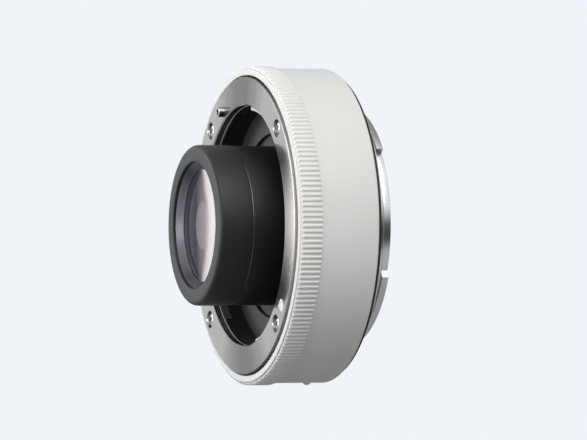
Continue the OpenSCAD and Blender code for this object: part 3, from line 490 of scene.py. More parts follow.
class Bench:
    """Modelling steps that pieces share."""

    @staticmethod
    def clear() -> None:
        """Leave edit mode and deselect everything."""
        if bpy.context.object is not None and bpy.context.object.mode != "OBJECT":
            bpy.ops.object.mode_set(mode="OBJECT")
        bpy.ops.object.select_all(action="DESELECT")

    @staticmethod
    def only(piece: Piece) -> None:
        """Select one piece and make it active."""
        Bench.clear()
        piece.select_set(True)
        bpy.context.view_layer.objects.active = piece

    @staticmethod
    def edit(piece: Piece) -> None:
        """Open a piece in edit mode with all of it selected."""
        Bench.only(piece)
        bpy.ops.object.mode_set(mode="EDIT")
        bpy.ops.mesh.select_mode(type="VERT")
        bpy.ops.mesh.select_all(action="SELECT")

    @staticmethod
    def close() -> None:
        """Turn the faces of the piece in edit mode outwards, and leave edit mode."""
        bpy.ops.mesh.select_all(action="SELECT")
        bpy.ops.mesh.normals_make_consistent(inside=False)
        bpy.ops.object.mode_set(mode="OBJECT")

    @staticmethod
    def settle(name: str) -> Piece:
        """Name the new primitive, move its place into its mesh, and give it back."""
        piece = bpy.context.object
        piece.name = name
        piece.data.name = name
        bpy.ops.object.transform_apply(location=True, rotation=True, scale=True)
        return piece

    @staticmethod
    def block(name: str, place: Sequence[float], size: Sequence[float], turn: float = 0.0) -> Piece:
        """Add a block with its middle at a place, turned about the optical axis by an angle in degrees."""
        Bench.clear()
        bpy.ops.mesh.primitive_cube_add(size=1, location=Vector(place) * MM, rotation=(0, math.radians(turn), 0),
                                        scale=Vector(size) * MM)
        return Bench.settle(name)

    @staticmethod
    def path(profile: Profile, closed: bool) -> list[tuple[float, float]]:
        """Work out the points of a profile, with its corners rounded.

        Args:
            profile: the profile's corners in order.
            closed: whether the last corner joins the first.

        Returns:
            Points as radius and height, in metres.
        """
        arc_step = 0.3
        corners = [Corner(*numbers) for numbers in profile]
        count = len(corners)
        spots: list[Vector] = []
        for i, corner in enumerate(corners):
            here = corner.spot()
            if corner.fillet == 0 or (not closed and i in (0, count - 1)):
                spots.append(here)
                continue
            before = (corners[i - 1].spot() - here).normalized()
            after = (corners[(i + 1) % count].spot() - here).normalized()
            half = before.angle(after) / 2
            reach = corner.fillet / math.tan(half)
            middle = here + (before + after).normalized() * (corner.fillet / math.sin(half))
            start = here + before * reach - middle
            turn = start.angle_signed(here + after * reach - middle)
            steps = max(2, round(abs(turn) / arc_step))
            spots += [middle + Matrix.Rotation(-turn * k / steps, 2) @ start for k in range(steps + 1)]
        return [(spot.x * MM, spot.y * MM) for spot in spots]

    @staticmethod
    def turn(name: str, profile: Profile, steps: int, closed: bool = True) -> Piece:
        """Make a round piece: a circle is extruded and scaled from point to point of a profile.

        Args:
            name: the piece's name.
            profile: the profile's corners in order.
            steps: points round the circle.
            closed: whether the profile closes on itself; otherwise its ends are filled with flat faces.

        Returns:
            The piece.
        """
        points = Bench.path(profile, closed)
        Bench.clear()
        last_r, last_h = points[0]
        bpy.ops.mesh.primitive_circle_add(vertices=int(steps), radius=last_r, location=(0, -last_h, 0),
                                          rotation=(math.pi / 2, 0, 0))
        piece = Bench.settle(name)
        Bench.edit(piece)
        if not closed:
            bpy.ops.mesh.edge_face_add()
        for r, h in points[1:] + (points[:1] if closed else []):
            bpy.ops.mesh.extrude_region_move(TRANSFORM_OT_translate={"value": (0, last_h - h, 0)})
            bpy.ops.transform.resize(value=(r / last_r, 1, r / last_r), center_override=(0, -h, 0))
            last_r, last_h = r, h
        bpy.ops.mesh.select_all(action="SELECT")
        bpy.ops.mesh.remove_doubles(threshold=1e-7)
        Bench.close()
        return piece

    @staticmethod
    def choose(piece: Piece, direction: Sequence[float]) -> None:
        """Select the faces of a piece in edit mode that look in a direction."""
        bpy.ops.mesh.select_mode(type="FACE")
        shape = bmesh.from_edit_mesh(piece.data)
        for face in shape.faces:
            face.select_set(face.normal.dot(Vector(direction)) > 0.9)
        shape.select_flush_mode()
        bmesh.update_edit_mesh(piece.data)

    @staticmethod
    def apply(piece: Piece, kind: str, **settings: Any) -> None:
        """Add a modifier of a Blender type to a piece, with settings, and apply it."""
        Bench.only(piece)
        modifier = piece.modifiers.new(kind.lower(), kind)
        for key, value in settings.items():
            setattr(modifier, key, value)
        bpy.ops.object.modifier_apply(modifier=modifier.name)

    @staticmethod
    def cut(piece: Piece, cutters: Iterable[Piece]) -> None:
        """Cut pieces out of a piece, and throw them away."""
        for cutter in cutters:
            Bench.apply(piece, "BOOLEAN", object=cutter, operation="DIFFERENCE", solver="EXACT")
            bpy.data.objects.remove(cutter, do_unlink=True)

    @staticmethod
    def around(piece: Piece, angle: float) -> None:
        """Turn a piece about the optical axis by an angle in degrees, in its mesh."""
        piece.data.transform(Matrix.Rotation(math.radians(-angle), 4, "Y"))

    @staticmethod
    def move(piece: Piece, r: float, angle: float, h: float = 0.0) -> None:
        """Move a piece out from the optical axis at an angle in degrees, and forward, in its mesh."""
        turn = math.radians(angle)
        away = Vector((r * math.cos(turn), -h, r * math.sin(turn)))
        piece.data.transform(Matrix.Translation(away * MM))

    @staticmethod
    def drill(d: float, r: float, angle: float, low: float, high: float, chamfer: float = 0.03) -> Piece:
        """Make a cutter for a hole whose mouth is chamfered.

        Args:
            d: diameter.
            r: distance from the axis.
            angle: angle about the axis, in degrees.
            low: height of the hole's bottom.
            high: height of the hole's mouth.
            chamfer: width of the chamfer.

        Returns:
            The cutter.
        """
        past = 0.4
        cutter = Bench.turn("cutter", [
            (d / 2, low), (d / 2, high - chamfer), (d / 2 + chamfer + past, high + past)], Steps.SMALL, closed=False)
        Bench.move(cutter, r, angle)
        return cutter

    @staticmethod
    def rod(d: float, r: float, angle: float, low: float, high: float) -> Piece:
        """Make a plain round cutter of a diameter, at a radius and an angle in degrees, between two heights."""
        Bench.clear()
        turn = math.radians(angle)
        bpy.ops.mesh.primitive_cylinder_add(
            vertices=int(Steps.BEAD), radius=d / 2 * MM, depth=(high - low) * MM, rotation=(math.pi / 2, 0, 0),
            location=(r * math.cos(turn) * MM, -(low + high) / 2 * MM, r * math.sin(turn) * MM))
        return Bench.settle("cutter")

    @staticmethod
    def lathe(name: str, profile: Profile, steps: int, finish: Finish, *nodes: str) -> None:
        """Turn a round piece with a closed profile that needs no more work, and finish it."""
        Bench.finish(Bench.turn(name, profile, steps), finish, *nodes)

    @staticmethod
    def slice(piece: Piece, point: Vector, away: Vector) -> None:
        """Cut off all of a piece beyond a plane through a point, in the direction away, and close it."""
        Bench.edit(piece)
        bpy.ops.mesh.bisect(plane_co=point * MM, plane_no=away, use_fill=True, clear_outer=True)
        Bench.close()

    @staticmethod
    def sector(piece: Piece, first: float, last: float) -> None:
        """Keep what lies between two angles of a round piece, less than half a turn apart."""
        for angle, side in ((first, -1), (last, 1)):
            turn = math.radians(angle)
            Bench.slice(piece, Vector((0, 0, 0)), Vector((-math.sin(turn), 0, math.cos(turn))) * side)

    @staticmethod
    def slope(piece: Piece, r: float, angle: float, lean: float) -> None:
        """Cut a sector off at its last angle, leaning by an angle from a radius on, so that it is shorter outside."""
        turn, tilt = math.radians(angle), math.radians(lean)
        out = Vector((math.cos(turn), 0, math.sin(turn)))
        on = Vector((-math.sin(turn), 0, math.cos(turn)))
        Bench.slice(piece, out * r, on * math.cos(tilt) + out * math.sin(tilt))

    @staticmethod
    def copies(piece: Piece, angles: Sequence[float]) -> Piece:
        """Copy a piece to angles about the optical axis and join the copies.

        Args:
            piece: the piece at angle 0, which is used up.
            angles: the copies' angles in degrees.

        Returns:
            The joined piece.
        """
        made = []
        for angle in angles:
            Bench.only(piece)
            bpy.ops.object.duplicate()
            Bench.around(bpy.context.object, angle)
            made.append(bpy.context.object)
        name = piece.name
        bpy.data.objects.remove(piece, do_unlink=True)
        Bench.clear()
        for item in made:
            item.select_set(True)
        bpy.context.view_layer.objects.active = made[0]
        if len(made) > 1:
            bpy.ops.object.join()
        made[0].name = name
        return made[0]

    @staticmethod
    def finish(piece: Piece, finish: Finish, *nodes: str, body: Body = Body.FIXED, angle: float = 32) -> None:
        """Smooth a piece, dress it, tie it to its body and let it stand for CAD nodes.

        Args:
            piece: the piece.
            finish: its finish.
            nodes: the CAD nodes that it replaces.
            body: the body it rides on.
            angle: edges sharper than this stay sharp, in degrees.
        """
        Bench.only(piece)
        bpy.ops.object.shade_smooth_by_angle(angle=math.radians(angle))
        piece.data.materials.clear()
        piece.data.materials.append(finish.material())
        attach(piece, body.value)
        if nodes:
            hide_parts(*nodes)
        log.info("%s: %d faces, rides on %s", piece.name, len(piece.data.polygons), body.value)


@dataclass(frozen=True)
class Sizes:
    """Places that several assemblies share, in millimetres; heights count forward from the rear seat."""

    face_h: float = 19.0
    ring_back_h: float = 17.1
    lip_h: float = 18.5
    grip_h: float = 13.95
    barrel_h: float = 2.35
    plate_h: float = 1.65
    nose_h: float = 29.1
    throat_r: float = 23.4
    ring_r: float = 28.9
    lip_r: float = 29.3
    grip_r: float = 31.1
    barrel_r: float = 30.7
    barrel_in_r: float = 29.5
    pin_r: float = 24.9
    pin_angle: float = 116.5
    contact_r: float = 19.0
    contact_step: float = 5.2
    contacts: int = 10
    thirds: tuple[float, float, float] = (0.0, 120.0, 240.0)

    def contact_angles(self) -> list[float]:
        """Give the contacts' angles, spread evenly about 0."""
        return [(k - (self.contacts - 1) / 2) * self.contact_step for k in range(self.contacts)]


SIZES = Sizes()


@dataclass
class CrossScrews:
    """Set of equal screws with domed cross heads, whose seat lies at one height."""

    name: str
    node: str
    d: float
    rise: float
    seat_h: float
    r: float
    angles: list[float]
    rearward: bool = False
    slot_turn: float = 20.0

    def build(self) -> None:
        """Turn one head, cut its cross, and copy it to all places."""
        d, rise = self.d, self.rise
        head = Bench.turn(self.name, [
            (d * 0.3, -0.4), (d * 0.3, 0), (d / 2, 0), (d / 2, rise * 0.5), (d * 0.44, rise * 0.78),
            (d * 0.33, rise * 0.93), (d * 0.15, rise)], Steps.SCREW, closed=False)
        Bench.cut(head, [Bench.block("cutter", (0, -rise, 0), (d * 0.62, rise * 1.1, d * 0.13), turn)
                         for turn in (self.slot_turn, self.slot_turn + 90)])
        if self.rearward:
            head.data.transform(Matrix.Rotation(math.pi, 4, "X"))
        Bench.move(head, self.r, 0, self.seat_h)
        Bench.finish(Bench.copies(head, self.angles), FINISHES.screw, self.node)


@dataclass
class Coils:
    """Set of equal coil springs."""

    name: str
    node: str
    joint: str
    travel: float
    d: float
    wire: float
    curls: int
    low: float
    high: float
    r: float
    angles: list[float]
    rings: int = 12
    wire_sides: int = 8
    smooth_angle: float = 60.0

    def build(self) -> None:
        """Wind one spring by extruding a wire's end round the axis, and copy it to all places."""
        Bench.clear()
        bpy.ops.mesh.primitive_circle_add(vertices=self.wire_sides, radius=self.wire / 2 * MM, location=(
            (self.d - self.wire) / 2 * MM, -(self.low + self.wire / 2) * MM, 0))
        piece = Bench.settle(self.name)
        Bench.edit(piece)
        bpy.ops.mesh.edge_face_add()
        steps = self.curls * self.rings
        rise = (self.high - self.low - self.wire) / steps
        for _ in range(steps):
            bpy.ops.mesh.extrude_region_move(TRANSFORM_OT_translate={"value": (0, -rise * MM, 0)})
            bpy.ops.transform.rotate(value=2 * math.pi / self.rings, orient_axis="Y", center_override=(0, 0, 0))
        Bench.close()
        Bench.move(piece, self.r, 0)
        coils = Bench.copies(piece, self.angles)
        Bench.finish(coils, FINISHES.spring, self.node, angle=self.smooth_angle)
        -self.low * MM
        1 - self.travel / (self.high - self.low)
        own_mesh(coils)


@dataclass
class GripBand:
    """Ridged white ring round the front of the barrel."""

    root_r: float = 30.8
    front_r: float = 30.55
    rim_r: float = 30.45
    shoulder_h: float = 17.9
    ridge_low: float = 13.99
    ridge_high: float = 18.25
    crest_low: float = 14.1
    crest_high: float = 17.98
    ridges: int = 196
    foot_share: float = 1.06
    crest_share: float = 0.25
    crest_bevel: float = 0.07
    seam: float = 0.08

    def ridge(self) -> Piece:
        """Shape one ridge at angle 0 from a block: a narrower crest, rounded edges and sloped ends."""
        foot = 2 * math.pi * self.root_r / self.ridges * self.foot_share
        bottom, top = self.front_r, SIZES.grip_r
        length, crest = self.ridge_high - self.ridge_low, self.crest_high - self.crest_low
        shift = (self.ridge_high + self.ridge_low - self.crest_high - self.crest_low) / 2
        piece = Bench.block("grip_ridges", ((bottom + top) / 2, -(self.ridge_low + self.ridge_high) / 2, 0),
                            (top - bottom, length, foot))
        Bench.edit(piece)
        Bench.choose(piece, (1, 0, 0))
        bpy.ops.transform.resize(value=(1, crest / length, self.crest_share))
        bpy.ops.transform.translate(value=(0, shift * MM, 0))
        bpy.ops.mesh.select_mode(type="EDGE")
        bpy.ops.mesh.region_to_loop()
        bpy.ops.mesh.bevel(offset=self.crest_bevel * MM, offset_type="OFFSET", segments=2, affect="EDGES")
        Bench.close()
        return piece

    def build(self) -> None:
        """Turn the ring, then add the ridges all round."""
        back = SIZES.ring_back_h + 0.02
        Bench.lathe("grip_band", [
            (SIZES.barrel_in_r, SIZES.grip_h), (self.root_r - self.seam, SIZES.grip_h),
            (self.root_r, SIZES.grip_h + self.seam / 2, 0.04), (self.root_r, self.shoulder_h, 0.05),
            (self.rim_r, self.shoulder_h), (self.rim_r, SIZES.lip_h, 0.12), (SIZES.lip_r, SIZES.lip_h, 0.08),
            (SIZES.lip_r, back), (SIZES.barrel_in_r, back)], 2 * self.ridges, FINISHES.white, "grip_ring")
        ridges = Bench.copies(self.ridge(), [360 * k / self.ridges for k in range(self.ridges)])
        Bench.finish(ridges, FINISHES.white)


@dataclass
class FrontMount:
    """Polished ring that takes a lens, with its claws, springs, screws, dot and lock pin."""

    screw_r: float = 26.4
    screw_recess: float = 3.4
    recess_depth: float = 0.9
    pin_hole_d: float = 2.16
    dot_angle: float = -35.0
    dot_d: float = 2.45
    dot_gap: float = 0.06
    claw_r: float = 22.4
    claw_span: float = 44.0
    claw_end: float = 86.0
    claw_h: float = 17.9
    leaf_span: float = 42.0
    leaf_end: float = 112.0
    leaf_l: float = 1.3
    leaf_t: float = 0.25
    screw_angles: list[float] = field(default_factory=lambda: [45.0, 135.0, 225.0, 315.0])

    def ring(self) -> None:
        """Turn the ring and cut its holes, and turn a dark band of painted shade round it, lit by a painted highlight
        on its near side.
        """
        face, back, throat, outer = SIZES.face_h, SIZES.ring_back_h, SIZES.throat_r, SIZES.ring_r
        ring = Bench.turn("lens_seat_ring", [
            (throat - 0.08, back, 0.05), (outer, back), (outer, face, 0.1), (throat + 0.25, face, 0.04),
            (throat, face - 0.25, 0.04), (throat, face - 1.45), (throat - 0.08, face - 1.51)], Steps.RING)
        cutters = [Bench.drill(self.screw_recess, self.screw_r, angle, face - self.recess_depth, face, 0.07)
                   for angle in self.screw_angles]
        cutters.append(Bench.drill(self.pin_hole_d, SIZES.pin_r, SIZES.pin_angle, back - 1, face))
        cutters.append(Bench.drill(self.dot_d + self.dot_gap, self.screw_r, self.dot_angle, face - 0.32, face))
        Bench.cut(ring, cutters)
        Bench.finish(ring, FINISHES.ring, "front_mount_ring")
        # thin dark band over the ring's outer wall: painted shade, with a painted highlight on the near side
        Bench.lathe("lens_seat_painted_shade_band", [
            (outer - 0.1, back), (outer + 0.06, back), (outer + 0.06, face - 0.12, 0.04),
            (outer - 0.1, face - 0.1)], Steps.RING, FINISHES.edge)

    def claws(self) -> None:
        """Cut one claw and one leaf spring from turned rings, and copy each to three places."""
        back, root = SIZES.ring_back_h, SIZES.throat_r + 0.1
        claw = Bench.turn("lens_seat_claws", [
            (self.claw_r, back, 0.08), (root, back), (root, self.claw_h), (self.claw_r, self.claw_h, 0.22)],
            Steps.CLAW)
        Bench.sector(claw, self.claw_end - self.claw_span, self.claw_end)
        Bench.finish(Bench.copies(claw, SIZES.thirds), FINISHES.claw)
        high, near = back - 0.02, SIZES.throat_r + 0.05
        low, far = high - self.leaf_l, near + self.leaf_t
        leaf = Bench.turn("lens_leaf_springs", [
            (near, low, 0.06), (far, low), (far, high), (near, high, 0.06)], Steps.CLAW)
        Bench.sector(leaf, self.leaf_end - self.leaf_span, self.leaf_end)
        Bench.finish(Bench.copies(leaf, SIZES.thirds), FINISHES.leaf, "mount_springs")

    def pin(self) -> None:
        """Turn the lock pin with its collar and rounded end, a black lining of painted shade in its hollow end, and
        the index dot.
        """
        pin = Bench.turn("lens_lock_pin", [
            (0.7, 6.05), (0.7, 8.5), (1.7, 8.5, 0.08), (1.7, 9.35, 0.08), (1.0, 9.35), (1.0, 20.3, 0.16),
            (0.6, 20.3, 0.04), (0.56, 19.85)], Steps.SMALL, closed=False)
        Bench.move(pin, SIZES.pin_r, SIZES.pin_angle)
        # black lining in the pin's hollow end: painted shade
        painted_shade_lining = Bench.turn("lens_pin_painted_shade", [
            (0.5, 19.7), (0.57, 19.75), (0.57, 19.98, 0.03), (0.3, 19.9)], Steps.SMALL, closed=False)
        Bench.move(painted_shade_lining, SIZES.pin_r, SIZES.pin_angle)
        Bench.finish(painted_shade_lining, FINISHES.flat_black, body=Body.LOCK_PIN)
        Bench.finish(pin, FINISHES.pin, "lock_pin", body=Body.LOCK_PIN)
        dot = Bench.turn("lens_index_dot", [
            (self.dot_d / 2, SIZES.face_h - 0.3), (self.dot_d / 2, SIZES.face_h - 0.06, 0.05),
            (self.dot_d * 0.3, SIZES.face_h - 0.02)], Steps.SMALL, closed=False)
        Bench.move(dot, self.screw_r, self.dot_angle)
        Bench.finish(dot, FINISHES.index, "front_index_dot")

    def build(self) -> None:
        """Build the ring and what it carries, and wind the lock's spring."""
        self.ring()
        self.claws()
        self.pin()
        CrossScrews("lens_seat_screws", "front_mount_screws", d=2.7, rise=0.7,
                    seat_h=SIZES.face_h - self.recess_depth, r=self.screw_r, angles=self.screw_angles).build()
        FINISHES.pin.dress("release_link")
        Coils("lock_coil", "lock_spring", "lock_pin_slide", travel=1.5, d=2.6, wire=0.35, curls=5,
              low=3.99, high=8.46, r=SIZES.pin_r, angles=[SIZES.pin_angle]).build()


@dataclass
class Nose:
    """Lens barrel that stands out of the front, with its rubber sleeve and glass."""

    rear_h: float = 22.4
    outer_r: float = 15.6
    neck_r: float = 14.32
    opening_r: float = 12.25
    lip_t: float = 0.53
    edge_in_r: float = 14.9
    cone_back_h: float = 27.2
    cone_r: float = 10.9
    cone_out_r: float = 12.8

    def build(self) -> None:
        """Turn the sleeve, the tube's edge and the retaining ring, and dress the tube and the glass."""
        nose, rear, back = SIZES.nose_h, self.rear_h, self.cone_back_h
        Bench.lathe("rubber_sleeve", [
            (self.neck_r, rear), (self.outer_r, rear, 0.12), (self.outer_r, nose - 0.03, 0.9), (14.2, nose, 0.5),
            (self.opening_r + 0.02, nose, 0.4), (self.opening_r, nose - self.lip_t),
            (self.neck_r, nose - self.lip_t)], Steps.RING, FINISHES.rubber, "nose_sleeve")
        # the edge's finish paints a highlight on its near side
        Bench.lathe("tube_edge", [
            (self.edge_in_r, rear - 0.22), (15.52, rear - 0.22, 0.03), (15.56, rear - 0.1, 0.04),
            (15.4, rear - 0.01), (self.edge_in_r, rear - 0.01)], Steps.TUBE, FINISHES.tube_edge)
        front = nose - 0.6
        # the retaining ring's finish paints a highlight on the far side of its cone
        Bench.lathe("glass_retainer", [
            (self.cone_out_r, back), (self.cone_out_r, front), (12.15, front, 0.05),
            (self.cone_r + 0.16, back + 0.2, 0.05), (self.cone_r, back + 0.12, 0.03), (self.cone_r, back)],
            Steps.TUBE, FINISHES.retainer, "front_retainer")
        FINISHES.anodised.dress("lens_barrel", "inner_retainer", "lens_spacer", "rear_retainer")
        FINISHES.glass.dress("lens_1", "lens_6")
        FINISHES.inner_glass.dress("lens_2", "lens_3", "lens_4", "lens_5")
        FINISHES.seal.dress("barrel_o_ring")


@dataclass
class Barrel:
    """White outer barrel with its bead, slider and rear seal."""

    bead_h: float = 4.8
    bead_angle: float = -93.5
    bead_d: float = 1.5
    slider_low: float = 6.95
    slider_high: float = 12.55
    slider_half: float = 6.4
    slider_play: float = 0.45
    slider_in_r: float = 30.25
    slider_out_r: float = 31.7
    grooves: int = 4
    pocket_depth: float = 0.5
    pocket_out_r: float = 33.0
    slot_half: float = 3.0
    slot_in_r: float = 28.0
    seal_in_r: float = 26.9
    seal_out_r: float = 30.0

    def shell(self) -> None:
        """Turn the barrel and cut the slider's pocket and slot."""
        shell = Bench.turn("barrel_shell", [
            (SIZES.barrel_in_r, SIZES.barrel_h), (SIZES.barrel_r, SIZES.barrel_h, 0.4),
            (SIZES.barrel_r, SIZES.grip_h - 0.04), (SIZES.barrel_r - 0.05, SIZES.grip_h),
            (SIZES.barrel_in_r, SIZES.grip_h)], Steps.SHELL)
        floor, outer = SIZES.barrel_r - self.pocket_depth, self.pocket_out_r
        low, high = self.slider_low - 1.7, self.slider_high + 0.2
        pocket = Bench.turn("cutter", [(floor, low, 0.1), (outer, low), (outer, high), (floor, high, 0.1)], Steps.ARC)
        half = self.slider_half + self.slider_play
        Bench.sector(pocket, SIZES.pin_angle - half, SIZES.pin_angle + half)
        slot = Bench.turn("cutter", [
            (self.slot_in_r, 7.7), (outer, 7.7), (outer, 10.2), (self.slot_in_r, 10.2)], Steps.ARC)
        Bench.sector(slot, SIZES.pin_angle - self.slot_half, SIZES.pin_angle + self.slot_half)
        Bench.cut(shell, [pocket, slot])
        Bench.finish(shell, FINISHES.white, "outer_barrel")

    def slider(self) -> None:
        """Turn the slider's grooved outline and keep its sector."""
        low, high, inner, outer = self.slider_low, self.slider_high, self.slider_in_r, self.slider_out_r
        step = (high - low) / (self.grooves + 1)
        grooves = [(outer - drop, low + k * step + shift, 0.06) for k in range(1, self.grooves + 1)
                   for shift, drop in ((-0.3, 0.0), (-0.18, 0.3), (0.18, 0.3), (0.3, 0.0))]
        slider = Bench.turn("release_button", [
            (inner, low), (outer, low, 0.2), *grooves, (outer, high, 0.2), (inner, high)], Steps.ARC)
        Bench.sector(slider, SIZES.pin_angle - self.slider_half, SIZES.pin_angle + self.slider_half)
        Bench.finish(slider, FINISHES.white, "release_slider", body=Body.RELEASE)

    def build(self) -> None:
        """Build the barrel and the slider, and turn the bead and the seal."""
        self.shell()
        self.slider()
        half = self.bead_d / 2
        bead = Bench.turn("barrel_bead", [
            (half, -0.5), (half, 0.16, 0.08), (half * 0.86, 0.36, 0.3), (half * 0.5, 0.52, 0.5),
            (half * 0.2, 0.57)], Steps.BEAD, closed=False)
        bead.data.transform(Matrix.Rotation(math.pi / 2, 4, "Z"))
        Bench.move(bead, SIZES.barrel_r, 0, self.bead_h)
        Bench.around(bead, self.bead_angle)
        Bench.finish(bead, FINISHES.index, "index_bead")
        Bench.lathe("barrel_seal", [
            (self.seal_in_r, SIZES.plate_h, 0.12), (self.seal_out_r, SIZES.plate_h, 0.2),
            (self.seal_out_r, SIZES.barrel_h), (self.seal_in_r, SIZES.barrel_h)],
            Steps.RING, FINISHES.seal, "rear_seal")


@dataclass
class RearMount:
    """Polished bayonet that enters a camera, with its claws, screws, contacts and baffle."""

    bore_r: float = 20.5
    neck_r: float = 21.6
    rim_r: float = 22.1
    claw_r: float = 23.25
    seat_r: float = 26.7
    flange_t: float = 1.45
    gap: float = 2.0
    end_h: float = -3.35
    claw_start: float = 40.0
    claw_span: float = 57.5
    claw_lean: float = 45.0
    screw_r: float = 25.13
    screw_seat_h: float = 0.52
    screw_hole_d: float = 2.5
    pin_hole_d: float = 2.2
    block_half: float = 34.4
    block_in_r: float = 17.65
    block_out_r: float = 20.35
    block_h: float = -2.65
    block_screw_gap: float = 7.0
    block_hole_d: float = 2.1
    baffle_r: float = 20.3
    baffle_h: float = 0.85
    baffle_step: float = 0.14
    baffle_screw_r: float = 17.9
    window: tuple[float, float] = (25.08, 17.1)
    window_corner: float = 2.0
    window_flare: tuple[float, float, float] = (1.07, 1.0, 1.1)
    screw_angles: list[float] = field(default_factory=lambda: [12.0, 102.0, 192.0, 282.0])
    baffle_screw_angles: list[float] = field(default_factory=lambda: [110.0, 250.0])

    def tube(self) -> None:
        """Turn the flange and the tube, and cut the holes for the screws and the lock pin."""
        relief_r, notch_h = self.claw_r + 0.3, 0.1 - self.gap
        tube = Bench.turn("camera_bayonet", [
            (self.bore_r, self.flange_t), (self.seat_r, self.flange_t), (self.seat_r, 0, 0.12), (relief_r, 0, 0.08),
            (relief_r, 0.3), (self.neck_r, 0.3), (self.neck_r, notch_h, 0.05), (self.rim_r, notch_h, 0.05),
            (self.rim_r, self.end_h, 0.16), (self.bore_r, self.end_h, 0.22)], Steps.RING)
        cutters = [Bench.rod(self.screw_hole_d, self.screw_r, angle, -1, self.screw_seat_h)
                   for angle in self.screw_angles]
        cutters.append(Bench.rod(self.pin_hole_d, SIZES.pin_r, SIZES.pin_angle, -1, 3))
        Bench.cut(tube, cutters)
        Bench.finish(tube, FINISHES.bayonet, "rear_bayonet")

    def claws(self) -> None:
        """Cut one claw from a turned ring, with a sloped leading end, and copy it to three places."""
        root, last = self.neck_r + 0.1, self.claw_start + self.claw_span
        claw = Bench.turn("camera_claws", [
            (root, self.end_h), (root, -self.gap), (self.claw_r, -self.gap, 0.1), (self.claw_r, self.end_h, 0.14)],
            Steps.CLAW)
        Bench.sector(claw, self.claw_start, last)
        Bench.slope(claw, self.rim_r + 0.05, last, self.claw_lean)
        Bench.finish(Bench.copies(claw, SIZES.thirds), FINISHES.bayonet)

    def contacts(self) -> None:
        """Cut the contact block from a turned ring and lay rounded pads on it."""
        inner, outer = self.block_in_r, self.block_out_r
        block = Bench.turn("camera_contact_block", [
            (inner, self.block_h, 0.2), (inner, SIZES.plate_h), (outer, SIZES.plate_h), (outer, self.block_h, 0.2)],
            Steps.CLAW)
        Bench.sector(block, -self.block_half, self.block_half)
        places = SIZES.contact_angles()
        ends = [places[0] - self.block_screw_gap, places[-1] + self.block_screw_gap]
        Bench.cut(block, [Bench.rod(self.block_hole_d, SIZES.contact_r, angle, -3, 0) for angle in ends])
        Bench.finish(block, FINISHES.plastic, "rear_contact_block")
        CrossScrews("camera_contact_screws", "rear_contact_screws", d=1.9, rise=0.6, seat_h=0.0, r=SIZES.contact_r,
                    angles=ends, rearward=True).build()
        pad = Bench.block("camera_contact_pads", (SIZES.contact_r, 0.03 - self.block_h, 0), (1.7, 0.13, 1.1))
        Bench.apply(pad, "BEVEL", width=0.05 * MM, segments=2, limit_method="NONE")
        Bench.finish(Bench.copies(pad, places), FINISHES.gold, "rear_contact_pads")

    def window_cutter(self) -> Piece:
        """Shape the cutter for the baffle's window: a block with round corners that widens to the rear."""
        wide, tall = self.window
        cutter = Bench.block("cutter", (0, -1.25, 0), (wide, 1.2, tall))
        Bench.edit(cutter)
        bpy.ops.mesh.select_all(action="DESELECT")
        bpy.ops.mesh.select_mode(type="EDGE")
        shape = bmesh.from_edit_mesh(cutter.data)
        for edge in shape.edges:
            edge.select_set(abs(edge.verts[0].co.y - edge.verts[1].co.y) > MM)
        bmesh.update_edit_mesh(cutter.data)
        bpy.ops.mesh.bevel(offset=self.window_corner * MM, offset_type="OFFSET", segments=8, affect="EDGES")
        Bench.choose(cutter, (0, 1, 0))
        bpy.ops.transform.resize(value=self.window_flare)
        Bench.close()
        return cutter

    def baffle(self) -> None:
        """Turn the baffle with a round edge and a shallow step, and cut its window and the contacts' place."""
        top, floor = self.baffle_h, self.baffle_h + self.baffle_step
        baffle = Bench.turn("camera_baffle", [
            (self.baffle_r, SIZES.plate_h), (self.baffle_r, top, 0.18), (15.9, top, 0.06), (15.75, floor, 0.06),
            (15.0, floor)], Steps.RING, closed=False)
        near, far = self.block_in_r - 0.3, 22.0
        place = Bench.turn("cutter", [(near, 0), (far, 0), (far, 3), (near, 3)], Steps.CLAW)
        Bench.sector(place, -self.block_half - 1, self.block_half + 1)
        Bench.cut(baffle, [place, self.window_cutter()])
        Bench.finish(baffle, FINISHES.plastic, "rear_baffle")
        CrossScrews("camera_baffle_screws", "rear_baffle_screws", d=1.9, rise=0.6, seat_h=top,
                    r=self.baffle_screw_r, angles=self.baffle_screw_angles, rearward=True).build()

    def build(self) -> None:
        """Build the bayonet, the contacts, the baffle and the screws, and dress the shim."""
        self.tube()
        self.claws()
        self.contacts()
        self.baffle()
        CrossScrews("camera_mount_screws", "rear_bayonet_screws", d=2.3, rise=0.42, seat_h=self.screw_seat_h,
                    r=self.screw_r, angles=self.screw_angles, rearward=True).build()
        FINISHES.brass.dress("mount_shim")


class Inside:
    """Chassis, front contacts and electronics."""

    def build(self) -> None:
        """Dress what is inside and wind the contact springs."""
        FINISHES.flat_black.dress("front_chassis", "rear_chassis")
        FINISHES.plastic.dress("cavity_floor", "front_contact_block", "board_chips")
        FINISHES.screw.dress("chassis_screws", "front_contact_screws", "lens_barrel_screws", "board_screws")
        FINISHES.gold.dress("contact_pins")
        Coils("contact_coils", "contact_springs", "contact_press", travel=0.6, d=1.0, wire=0.14, curls=4,
              low=10.23, high=14.27, r=SIZES.contact_r, angles=SIZES.contact_angles()).build()
        FINISHES.board.dress("main_board")
        FINISHES.film.dress("front_flex", "rear_flex")


@dataclass(frozen=True)
class Lamp:
    """Square lamp that faces the part.

    The direction leads from the part to the lamp, reach and size are in metres, and level is the light on a surface
    that faces the lamp, where 1 shows white as white.
    """

    name: str
    direction: tuple[float, float, float]
    reach: float
    size: float
    level: float

    def build(self) -> None:
        """Add the lamp to the scene."""
        data = bpy.data.lights.new(self.name, "AREA")
        data.shape = "SQUARE"
        data.size = self.size
        data.energy = self.level * math.pi ** 2 * self.reach ** 2
        away = Vector(self.direction).normalized()
        item = bpy.data.objects.new(self.name, data)
        bpy.context.scene.collection.objects.link(item)
        item.location = away * self.reach
        item.rotation_euler = away.to_track_quat("Z", "Y").to_euler()


